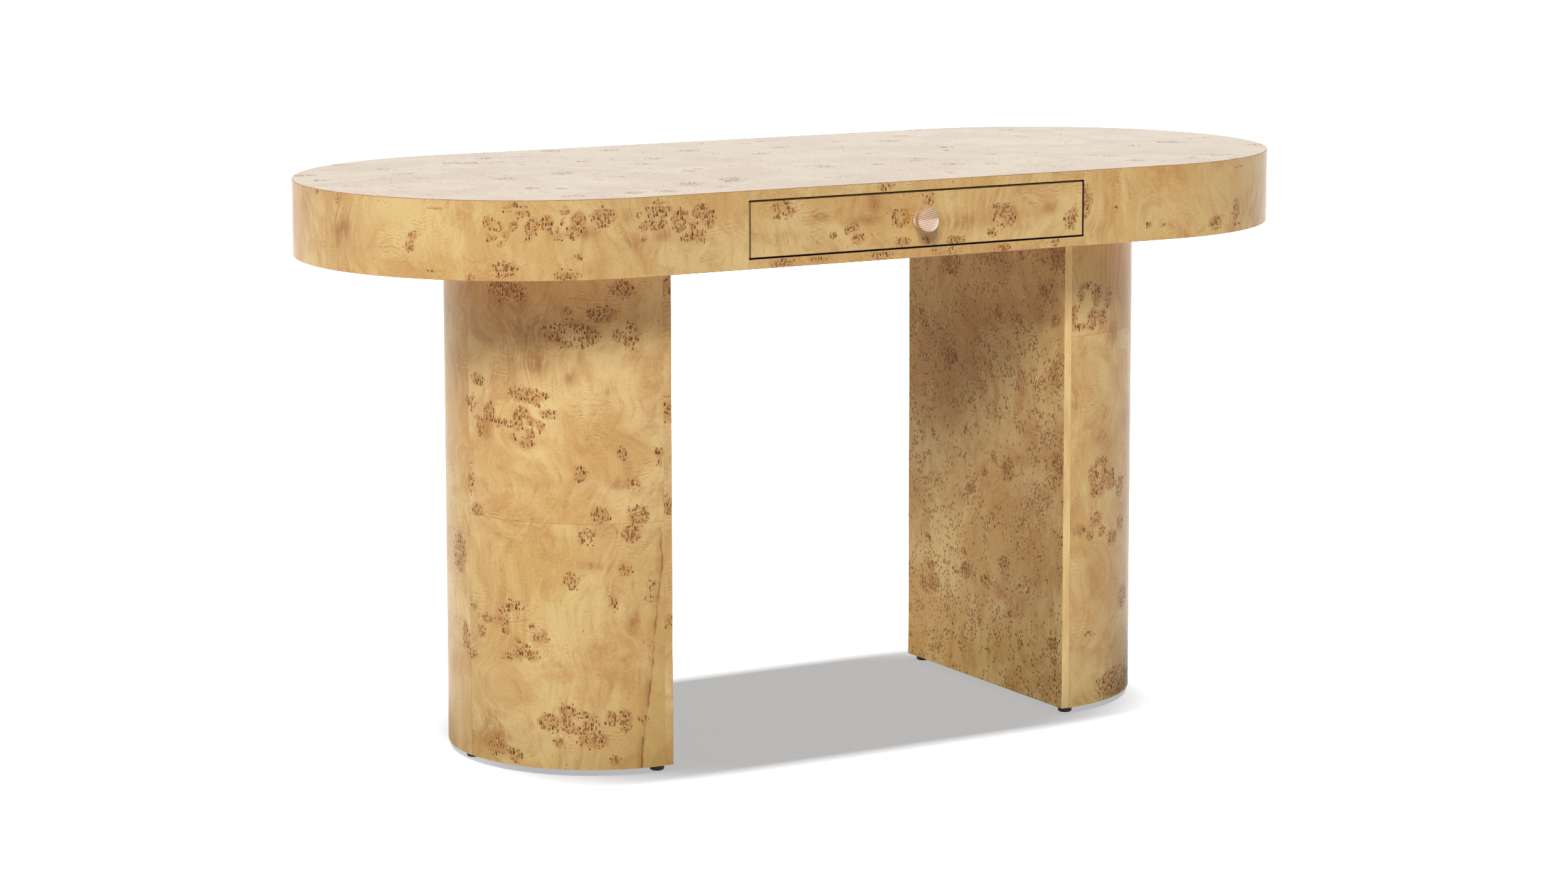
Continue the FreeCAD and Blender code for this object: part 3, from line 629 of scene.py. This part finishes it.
def speckled(name, light, dark, scale, rough, metallic=0.0):  # board, plastic, enamel or plated steel
    material, paint = newMaterial(name)
    place = paint.solid()
    grain = paint.noise(place, scale, 4, 0.65)
    cloud = paint.noise(place, scale / 14)
    colour = paint.mix(paint.ease(grain * 0.6 + cloud * 0.4, 0.35, 0.65), light, dark)
    paint.surface(
        {
            "Base Color": colour,
            "Roughness": rough + paint.ease(grain, 0.3, 0.7) * 0.12,
            "Metallic": metallic,
            "Normal": paint.bump(grain, 0.2, 0.0002),
        }
    )
    return material


veneerLooks = {
    "top": {
        "flame": 0.3, "haze": 0.35, "shade": 0.45, "stray": 0.2, "tilt": 3,
        "speck": 0.36, "speckSize": 0.0034, "speckDepth": 0.9, "coat": 0.9,
    },
    "side": {
        "flame": 0.58, "haze": 0.72, "shade": 0.45, "stray": 0.06, "tilt": 2,
        "speck": 0.06, "speckSize": 0.0028, "speckDepth": 0.8, "coat": 0.2,
    },
    "inner": {
        "flame": 0.6, "haze": 0.7, "shade": 0.45, "stray": 0.4, "tilt": 5,
        "speck": 0.8, "speckSize": 0.0031, "speckDepth": 0.85, "coat": 0.1,
    },
}
topVeneer = burlVeneer("topVeneer", veneerLooks["top"])
sideVeneer = burlVeneer("sideVeneer", veneerLooks["side"])
innerVeneer = burlVeneer("innerVeneer", veneerLooks["inner"])
leftEdgeVeneer = burlVeneer("leftEdgeVeneer", {**veneerLooks["side"], "shade": 0.1, "onEdge": True})
arrisWood = plainWood("arrisWood", tone(188, 132, 92), tone(150, 96, 62), (60, 60, 60), 0.35)
edgeVeneer = plainWood("edgeVeneer", tone(232, 200, 138), tone(212, 176, 112), (50, 50, 14), 0.4)
# Painted shade: a near-black finish on the edges round the drawer gap, darkening the gap
gapShade = speckled("gapShade", tone(46, 26, 14), tone(30, 16, 8), 900, 0.7)
finishes = {
    "core_board": speckled("coreBoard", tone(176, 140, 98), tone(140, 104, 68), 900, 0.7),
    "drawer_birch": plainWood("drawerBirch", tone(226, 200, 156), tone(206, 174, 124), (5, 60, 90), 0.4),
    "knob_oak": limedOak("knobOak"),
    "glide_plastic": speckled("glidePlastic", tone(48, 30, 26), tone(34, 21, 18), 1500, 0.4),
    "bumper_rubber": speckled("bumperRubber", tone(212, 210, 202), tone(190, 188, 180), 1200, 0.5),
    "zinc_steel": speckled("zincSteel", tone(206, 208, 208), tone(176, 178, 180), 1800, 0.28, 1.0),
    "knob_brass": speckled("knobBrass", tone(214, 182, 108), tone(188, 152, 82), 1500, 0.3, 1.0),
    "runner_enamel": speckled("runnerEnamel", tone(236, 232, 220), tone(224, 220, 206), 1400, 0.35),
    "roller_nylon": speckled("rollerNylon", tone(240, 238, 230), tone(226, 224, 214), 1500, 0.45),
    "burl_veneer": edgeVeneer,
}
for part in frame["record"]["subparts"]:
    node = nodes[part["node"]]
    node.data.materials.clear()
    node.data.materials.append(finishes[part["material_slot"]])
print("finishes made")


tiny = 1e-6  # metres; points nearer than this are one


def cutAt(bm, point, direction):
    geom = bm.verts[:] + bm.edges[:] + bm.faces[:]
    bmesh.ops.bisect_plane(bm, geom=geom, dist=tiny, plane_co=point, plane_no=direction)


def lastVertex(made):
    return [item for item in made["geom_last"] if isinstance(item, bmesh.types.BMVert)][0]


def runLine(bm, start, span, step):  # a straight run from a vertex, in steps no longer than step
    span = Vector(span)
    count = max(1, math.ceil(span.length / step))
    stride = span / count
    made = bmesh.ops.spin(bm, geom=[start], cent=(0, 0, 0), axis=(0, 0, 1), dvec=stride, angle=0, steps=count)
    return lastVertex(made)


def runArc(bm, start, centre, angle, step):
    count = math.ceil(abs(angle) * (start.co - Vector(centre)).length / step)
    made = bmesh.ops.spin(bm, geom=[start], cent=centre, axis=(0, 0, 1), angle=angle, steps=count)
    return lastVertex(made)


def raiseEdges(bm, height, step):
    count = max(1, math.ceil(height / step))
    geom = bm.verts[:] + bm.edges[:]
    lift = (0, 0, height / count)
    bmesh.ops.spin(bm, geom=geom, cent=(0, 0, 0), axis=(0, 0, 1), dvec=lift, angle=0, steps=count)


def faceFrom(bm, inside):  # turns an open skin so that its faces look away from a point inside
    bmesh.ops.recalc_face_normals(bm, faces=bm.faces[:])
    outward = 0
    for face in bm.faces:
        outward += face.normal.dot(face.calc_center_median() - Vector(inside)) * face.calc_area()
    if outward < 0:
        bmesh.ops.reverse_faces(bm, faces=bm.faces[:])


def layLeaves(bm, faces, flat, leaves):  # gives each corner its place on its own leaf
    layer = bm.loops.layers.uv.verify()
    shade = bm.loops.layers.float["shade"]
    for face in faces:
        centre = flat(face.calc_center_median())
        across, up = leafShift(leaves, *centre)
        for loop in face.loops:
            loop[shade] = across % 1  # every leaf is a little greener or not
            along, high = flat(loop.vert.co)
            if abs(along - centre[0]) > endX:  # a corner where the count along the apron starts again
                along = math.copysign(along, centre[0])
            loop[layer].uv = (along + across, high + up)


# How burrs fade, in shares of their half length and half height
fading = {"ring": 0.74, "ringWidth": 0.36, "edge": 0.95, "edgeSteepness": 9, "growthReach": 1.7}


# How much of each burr, joint and crack every point has
def layFields(bm, verts, flat, leaves, places, split=()):
    spots = np.array([flat(vert.co) for vert in verts])
    along, up = spots[:, 0], spots[:, 1]
    eyes, growth, seam, leanX, leanY, stainAndShade = np.zeros((6, len(verts)))
    crack = np.ones(len(verts))  # how far beyond the crack, in metres
    for across, high, wide, tall, kind in places:
        span = np.hypot((along - across) / wide, (up - high) / tall)
        if kind == "stainsAndShade":
            stainAndShade = np.maximum(stainAndShade, np.exp(-(span**2)))
            continue
        if kind == "rings":
            shape = np.exp(-(((span - fading["ring"]) / fading["ringWidth"]) ** 2))
        else:
            fall = (span - fading["edge"]) * fading["edgeSteepness"]
            shape = 1 / (1 + np.exp(np.minimum(fall, 60)))  # far off, the power would overflow
        outward = 2 * np.arctan2(up - high, along - across)  # doubled, because an oval has two ends
        leanX = np.where(shape > eyes, np.cos(outward), leanX)
        leanY = np.where(shape > eyes, np.sin(outward), leanY)
        eyes = np.maximum(eyes, shape)
        growth += np.exp(-((span / fading["growthReach"]) ** 2))
    if split:
        heights, places = zip(*sorted((high, across) for across, high in split))
        crack = np.where(up < heights[-1], along - np.interp(up, heights, places), crack)
    column = np.searchsorted(leaves["along"], along)
    for cut in leaves["along"]:
        seam = np.maximum(seam, 1 - np.abs(along - cut) / veneer["seamReach"])
    for number, cuts in leaves["columns"].items():
        for cut in cuts:
            crossing = np.maximum(seam, 1 - np.abs(up - cut) / veneer["seamReach"])
            seam = np.where(column == number, crossing, seam)
    for name, values in zip(pointFields, (eyes, growth, seam, leanX, leanY, crack, stainAndShade)):
        layer = bm.verts.layers.float[name]
        for vert, value in zip(verts, values):
            vert[layer] = value


def veneerSkin(bm, flat, leaves, places, split=()):
    layLeaves(bm, bm.faces, flat, leaves)
    layFields(bm, bm.verts[:], flat, leaves, places, split)


def newSkin():
    bm = bmesh.new()
    for name in pointFields:
        bm.verts.layers.float.new(name)
    bm.loops.layers.float.new("shade")
    bm.loops.layers.uv.new("leaf")
    return bm


angles = {"crease": math.radians(20), "arris": math.radians(40)}  # what turns more gets a crease or an arris


def smoothFaces(bm):  # smooth, but creased at open edges and at corners
    for face in bm.faces:
        face.smooth = True
    for edge in bm.edges:
        edge.smooth = edge.is_manifold and edge.calc_face_angle() < angles["crease"]


def meshFrom(name, bm, materials):
    mesh = bpy.data.meshes.new(name)
    bm.to_mesh(mesh)
    bm.free()
    for material in materials:
        mesh.materials.append(material)
    return mesh


def makePiece(name, bm, body, materials, replaced):
    piece = addObject(name, meshFrom(name, bm, materials))
    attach(piece, body)
    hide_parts(*replaced)
    return piece


# Puts a board behind the veneer, with other materials on its back and edges
def thicken(piece, thickness, back, rim):
    solidify = piece.modifiers.new("board", "SOLIDIFY")
    solidify.thickness = thickness
    solidify.offset = -1
    solidify.use_even_offset = True
    solidify.material_offset = back
    solidify.material_offset_rim = rim


def soften(piece, width, material=-1):
    bevel = piece.modifiers.new("arris", "BEVEL")
    bevel.width = width
    bevel.segments = 2
    bevel.material = material
    bevel.limit_method = "ANGLE"
    bevel.angle_limit = angles["arris"]


# Top and bottom panels
slab = {
    "edgeStep": 0.004,
    "topStep": 0.008,
    "arris": 0.0008,
    "arrisTilt": (0.05, 0.98),  # how level the arris's faces are
    "edgeRows": 3,
    "gapShadeDepth": 0.024,
    "merge": 1e-5,
    "slots": {"top": 0, "side": 1, "arris": 2, "board": 3, "gapShaded": 4},
}


def apronPlace(along):  # the point and the direction of travel at a place along the apron
    side, along = math.copysign(1, along), abs(along)
    angle = min(max((along - endX) / endRadius, 0), math.pi)
    across = min(along, endX) - max(0, along - endX - halfTurn) + endRadius * math.sin(angle)
    place = Vector((side * across, middleY - endRadius * math.cos(angle), 0))
    return place, Vector((side * math.cos(angle), math.sin(angle), 0))


def runRound(bm, startX, z, step):  # from a point on the front round the right end, the back and the left end
    corner = bm.verts.new((startX, topLow.y, z))
    corner = runLine(bm, corner, (endX - startX, 0, 0), step)
    corner = runArc(bm, corner, (endX, middleY, z), math.pi, step)
    corner = runLine(bm, corner, (-2 * endX, 0, 0), step)
    return runArc(bm, corner, (-endX, middleY, z), math.pi, step)


def makeSlab(name, node, low, high, shown, step):
    bm = newSkin()
    runRound(bm, -endX, low, slab["edgeStep"])
    bmesh.ops.remove_doubles(bm, verts=bm.verts[:], dist=slab["merge"])
    bmesh.ops.contextual_create(bm, geom=bm.edges[:])
    made = bmesh.ops.extrude_face_region(bm, geom=bm.faces[:])
    raised = [item for item in made["geom"] if isinstance(item, bmesh.types.BMVert)]
    bmesh.ops.translate(bm, verts=raised, vec=(0, 0, high - low))
    bmesh.ops.recalc_face_normals(bm, faces=bm.faces[:])
    rim = [edge for edge in bm.edges if all(abs(vert.co.z - shown) < tiny for vert in edge.verts)]
    bmesh.ops.bevel(bm, geom=rim, offset=slab["arris"], segments=2, profile=0.5, affect="EDGES", material=-1)
    for axis, lines in ((0, topLeaves["along"]), (1, [middleY])):
        first, last = math.floor(topLow[axis] / step) + 1, math.ceil(topHigh[axis] / step)
        for cut in [number * step for number in range(first, last)] + lines:
            cutAt(bm, Vector((cut, cut, 0)), Vector((1 - axis, axis, 0)))
    for cut in apronLeaves["along"]:
        cutAt(bm, *apronPlace(cut))
    for row in range(1, slab["edgeRows"]):
        cutAt(bm, (0, 0, low + (high - low) * row / slab["edgeRows"]), (0, 0, 1))
    smoothFaces(bm)
    slots = slab["slots"]
    for face in bm.faces:
        level = abs(face.normal.z)
        nearRim = abs(face.calc_center_median().z - shown) < slab["arris"]
        face.material_index = slots["side" if level < 0.5 else "top"]
        if nearRim and slab["arrisTilt"][0] < level < slab["arrisTilt"][1]:
            face.material_index = slots["arris"]
    flats = [face for face in bm.faces if face.material_index == slots["top"]]
    onFlat = {vert for face in flats for vert in face.verts}
    edging = [face for face in bm.faces if face.material_index != slots["top"]]
    for face in flats:  # the hidden side is bare board, with painted shade round the drawer to darken the gap
        centre = face.calc_center_median()
        if abs(centre.z - shown) > slab["arris"]:
            byDrawer = abs(centre.x) < bayX + step and centre.y < topLow.y + slab["gapShadeDepth"]
            face.material_index = slots["gapShaded" if byDrawer else "board"]
    layLeaves(bm, flats, flatTop, topLeaves)
    layLeaves(bm, edging, flatApron, apronLeaves)
    layFields(bm, [vert for vert in bm.verts if vert in onFlat], flatTop, topLeaves, burrs["top"])
    layFields(bm, [vert for vert in bm.verts if vert not in onFlat], flatApron, apronLeaves, burrs["apron"])
    materials = (topVeneer, sideVeneer, arrisWood, finishes["core_board"], gapShade)
    return makePiece(name, bm, "desk", materials, [node])


makeSlab("topPanel", "top_panel", topLow.z, topHigh.z, topHigh.z, slab["topStep"])
makeSlab("bottomPanel", "bottom_panel", bottomLow.z, bottomHigh.z, bottomLow.z, slab["topStep"] * 2)
print("panels made")


# The apron: one bent band with an opening for the drawer
band = {"step": 0.004, "board": 0.018}


def makeBand():
    bm = newSkin()
    corner = runRound(bm, bayX, bandLow.z, band["step"])
    runLine(bm, corner, (endX - bayX, 0, 0), band["step"])
    raiseEdges(bm, bandHigh.z - bandLow.z, band["step"])
    for cut in apronLeaves["along"] + [bandLength]:
        cutAt(bm, *apronPlace(cut))
    faceFrom(bm, (0, middleY, bandLow.z))
    smoothFaces(bm)
    veneerSkin(bm, flatApron, apronLeaves, burrs["apron"])
    replaced = ["back_apron", "left_end_apron", "right_end_apron", "left_front_apron", "right_front_apron"]
    # the band's edges at the drawer opening take the painted shade of the gap
    materials = (sideVeneer, finishes["core_board"], gapShade)
    piece = makePiece("apronBand", bm, "desk", materials, replaced)
    thicken(piece, band["board"], back=1, rim=2)


makeBand()
print("apron made")


# Legs: a bent shell and a flat inner panel each
leg = {"step": 0.005, "shell": 0.009, "arris": 0.0006, "foot": panelLow.z, "head": panelHigh.z}


def makeShell(side, leaves):
    bm = newSkin()
    sign = sides[side]
    start = math.acos((panelHigh.x - legRoundX) / legRadius)  # from the nose round to the inner panel
    front = middleY - legRadius * math.sin(start)
    corner = bm.verts.new((sign * panelHigh.x, front, leg["foot"]))
    runArc(bm, corner, (sign * legRoundX, middleY, leg["foot"]), sign * 2 * start, leg["step"])
    raiseEdges(bm, leg["head"] - leg["foot"], leg["step"])
    for cut in leaves["along"]:
        out, back = math.cos(cut / legRadius), math.sin(cut / legRadius)
        place = Vector((sign * (legRoundX + legRadius * out), middleY + legRadius * back, 0))
        cutAt(bm, place, Vector((-sign * back, out, 0)))
    for cuts in leaves["columns"].values():
        for cut in cuts:
            cutAt(bm, (0, 0, cut), (0, 0, 1))
    faceFrom(bm, (sign * legRoundX, middleY, leg["head"] / 2))
    smoothFaces(bm)
    veneerSkin(bm, flatShell, leaves, burrs[side + "Leg"], legCrack if side == "left" else ())
    materials = (sideVeneer, finishes["core_board"])
    piece = makePiece(side + "LegShell", bm, "desk", materials, [side + "_leg_shell"])
    thicken(piece, leg["shell"], back=1, rim=1)


def makeInnerPanel(side):
    bm = newSkin()
    sign = sides[side]
    corner = bm.verts.new((sign * panelLow.x, panelLow.y, leg["foot"]))
    runLine(bm, corner, (0, panelHigh.y - panelLow.y, 0), leg["step"])
    raiseEdges(bm, leg["head"] - leg["foot"], leg["step"])
    faceFrom(bm, (sign * panelHigh.x, middleY, leg["head"] / 2))
    veneerSkin(bm, flatInner, innerLeaves, burrs["inner"])
    materials = (innerVeneer, finishes["core_board"], leftEdgeVeneer if side == "left" else edgeVeneer)
    piece = makePiece(side + "LegPanel", bm, "desk", materials, [side + "_leg_inner_panel"])
    thicken(piece, panelHigh.x - panelLow.x, back=1, rim=2)
    soften(piece, leg["arris"])


for side, leaves in (("left", leftLeaves), ("right", rightLeaves)):
    makeShell(side, leaves)
    makeInnerPanel(side)
print("legs made")


# Drawer front
drawer = {"step": 0.004, "arris": 0.0007}


def makeDrawerFace():
    bm = newSkin()
    corner = bm.verts.new((drawerLow.x, drawerLow.y, drawerLow.z))
    runLine(bm, corner, (drawerHigh.x - drawerLow.x, 0, 0), drawer["step"])
    raiseEdges(bm, drawerHigh.z - drawerLow.z, drawer["step"])
    faceFrom(bm, (0, middleY, drawerLow.z))
    veneerSkin(bm, flatApron, drawerLeaves, burrs["drawer"])
    materials = (sideVeneer, finishes["core_board"], edgeVeneer, gapShade)
    piece = makePiece("drawerFace", bm, "drawer", materials, ["drawer_front"])
    thicken(piece, drawerHigh.y - drawerLow.y, back=1, rim=2)
    # the arris round the drawer face takes the painted shade, widening the dark line of the gap
    soften(piece, drawer["arris"], material=3)


makeDrawerFace()


# Knob, turned from oak: shares of its radius and of its length from the drawer out
knob = {
    "shares": (
        (0, 0), (0.76, 0), (0.8, 0.02), (0.82, 0.075), (0.8, 0.13), (0.76, 0.15), (0.68, 0.18), (0.65, 0.235),
        (0.68, 0.29), (0.8, 0.35), (0.88, 0.39), (0.9, 0.43), (0.885, 0.47), (0.89, 0.52), (0.98, 0.6),
        (1.0, 0.67), (0.96, 0.77), (0.82, 0.88), (0.5, 0.97), (0.2, 0.997), (0, 1),
    ),
    "turns": 48,
}


def spinAbout(bm, centre, axis, turns):
    edges = [edge for edge in bm.edges if not edge.link_faces]
    geom = list({vert for edge in edges for vert in edge.verts}) + edges
    bmesh.ops.spin(bm, geom=geom, cent=centre, axis=axis, angle=math.tau, steps=turns, use_merge=True)
    bmesh.ops.remove_doubles(bm, verts=bm.verts[:], dist=tiny)


def joinPoints(bm, points):
    verts = [bm.verts.new(point) for point in points]
    for pair in zip(verts, verts[1:]):
        bm.edges.new(pair)


def makeKnob():
    low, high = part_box("knob")
    middle = (low + high) / 2
    radius, reach = (high.x - low.x) / 2, high.y - low.y
    outline = [(middle.x + out * radius, high.y - along * reach, middle.z) for out, along in knob["shares"]]
    bm = bmesh.new()
    joinPoints(bm, outline)
    spinAbout(bm, middle, (0, 1, 0), knob["turns"])
    bmesh.ops.recalc_face_normals(bm, faces=bm.faces[:])
    for face in bm.faces:
        face.smooth = True
    piece = makePiece("turnedKnob", bm, "drawer", (finishes["knob_oak"],), ["knob"])
    subdivide = piece.modifiers.new("turning", "SUBSURF")
    subdivide.levels = subdivide.render_levels = 2


makeKnob()
print("drawer made")


# Glides: shares of the radius, and heights in metres
glide = {
    "outline": ((0, 0), (0.8, 0), (0.93, 0.0006), (1, 0.0022), (1, 0.0064), (0.95, 0.0076), (0.86, 0.008)),
    "radius": 0.0095,
    "stem": 0.3,
    "fromPanel": 0.004,
    "turns": 40,
}


def makeGlides():
    low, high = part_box("foot_glides")
    radius, inner = glide["radius"], panelHigh.x + glide["fromPanel"]
    places = [(inner, low.y + radius), (inner, high.y - radius), (high.x - radius, middleY)]
    stem = glide["stem"] * radius
    outline = [(out * radius, up) for out, up in glide["outline"]]
    outline += [(stem, glide["outline"][-1][1]), (stem, high.z), (0, high.z)]
    bm = bmesh.new()
    for sign in sides.values():
        for x, y in places:
            joinPoints(bm, [(sign * x + out, y, up) for out, up in outline])
            spinAbout(bm, (sign * x, y, 0), (0, 0, 1), glide["turns"])
    bmesh.ops.recalc_face_normals(bm, faces=bm.faces[:])
    makePiece("footGlides", bm, "desk", (finishes["glide_plastic"],), ["foot_glides"])


makeGlides()
print("glides made")


# Floor, world and lamps: the suns light the desk, and a long strip high above lights only the floor under it
studio = {
    "floorSize": 60,
    "bounceTone": (0.0215, 0.0192, 0.0158, 1.0),  # the floor as the desk sees it, under the strong strip
    "shownTone": (0.132, 0.132, 0.132, 1.0),
    "floorGlow": 0.46,  # what the floor shows in full shadow
    # painted light on the floor: beyond the legs it glows brighter, lifting the desk's shadow there
    "endGlow": 0.48,  # how much brighter the floor gets beyond the legs
    "glowFrom": 0.45,  # how far out from the middle that begins and ends
    "glowTo": 0.58,
    "fill": 0.18,
    "strip": {"long": 90, "deep": 26, "height": 100, "power": 2600000},
    "suns": {
        "keySun": {"strength": 2.12, "width": 18, "azimuth": -33, "elevation": 36},
        "overheadSun": {"strength": 0.42, "width": 20, "azimuth": 0, "elevation": 84},
        "leftSun": {"strength": 0.8, "width": 25, "azimuth": -110, "elevation": 30},
    },
}


def seenDirectly(paint):  # rays from the camera, from a mirror or through glass
    kinds = ("Is Camera Ray", "Is Glossy Ray", "Is Transmission Ray")
    camera, mirror, glass = paint.node("ShaderNodeLightPath", {}, {}, *kinds)
    either = camera.sum("MAXIMUM", camera, mirror)
    return either.sum("MAXIMUM", either, glass)


def makeFloor():
    bm = bmesh.new()
    bmesh.ops.create_grid(bm, x_segments=1, y_segments=1, size=studio["floorSize"])
    material, paint = newMaterial("studioFloor")
    matt = paint.node("ShaderNodeBsdfDiffuse", {}, {"Color": studio["bounceTone"]})
    plain = paint.node("ShaderNodeBsdfDiffuse", {}, {"Color": studio["shownTone"]})
    across = paint.node("ShaderNodeSeparateXYZ", {}, {0: paint.solid()}, 0)
    # Painted light: the floor glows brighter beyond the legs, lifting the desk's shadow there
    beyond = paint.ease(across * across, studio["glowFrom"] ** 2, studio["glowTo"] ** 2)
    level = studio["floorGlow"] + studio["endGlow"] * beyond
    brightness = paint.node("ShaderNodeCombineColor", {}, {0: level, 1: level, 2: level})
    glow = paint.node("ShaderNodeEmission", {}, {"Color": brightness})
    shown = paint.node("ShaderNodeAddShader", {}, {0: plain, 1: glow})
    both = paint.node("ShaderNodeMixShader", {}, {0: seenDirectly(paint), 1: matt, 2: shown})
    paint.node("ShaderNodeOutputMaterial", {}, {"Surface": both})
    floor = addObject("floor", meshFrom("floor", bm, [material]))
    return floor


def lightWorld():
    world = bpy.data.worlds.new("studio")
    bpy.context.scene.world = world
    world.use_nodes = True
    paint = Paint(world.node_tree)
    white = (1, 1, 1, 1)
    fill = paint.node("ShaderNodeBackground", {}, {"Color": white, "Strength": studio["fill"]})
    plain = paint.node("ShaderNodeBackground", {}, {"Color": white, "Strength": 1.0})
    both = paint.node("ShaderNodeMixShader", {}, {0: seenDirectly(paint), 1: fill, 2: plain})
    paint.node("ShaderNodeOutputWorld", {}, {"Surface": both})


def hangLamp(lamp, shine, place, floor, state):  # a lamp that lights only the floor, or all but the floor
    holder = addObject(lamp.name, lamp)
    holder.matrix_world = Matrix.Translation(place) @ shine.to_track_quat("-Z", "Y").to_matrix().to_4x4()
    holder.visible_glossy = False
    lit = bpy.data.collections.new(lamp.name + "Lights")
    lit.objects.link(floor)
    holder.light_linking.receiver_collection = lit
    lit.collection_objects[0].light_linking.link_state = state


def hangLamps(floor):
    for name, wanted in studio["suns"].items():
        sun = bpy.data.lights.new(name, "SUN")
        sun.energy = wanted["strength"]
        sun.angle = math.radians(wanted["width"])
        azimuth, elevation = math.radians(wanted["azimuth"]), math.radians(wanted["elevation"])
        level = math.cos(elevation)
        shine = Vector((-level * math.sin(azimuth), level * math.cos(azimuth), -math.sin(elevation)))
        hangLamp(sun, shine, Vector(), floor, "EXCLUDE")
    strip = bpy.data.lights.new("floorStrip", "AREA")
    strip.shape = "RECTANGLE"
    strip.size, strip.size_y = studio["strip"]["long"], studio["strip"]["deep"]
    strip.energy = studio["strip"]["power"]
    hangLamp(strip, Vector((0, 0, -1)), Vector((0, 0, studio["strip"]["height"])), floor, "INCLUDE")


lightWorld()
hangLamps(makeFloor())
bpy.context.scene.view_settings.view_transform = "Standard"
print("studio lit")
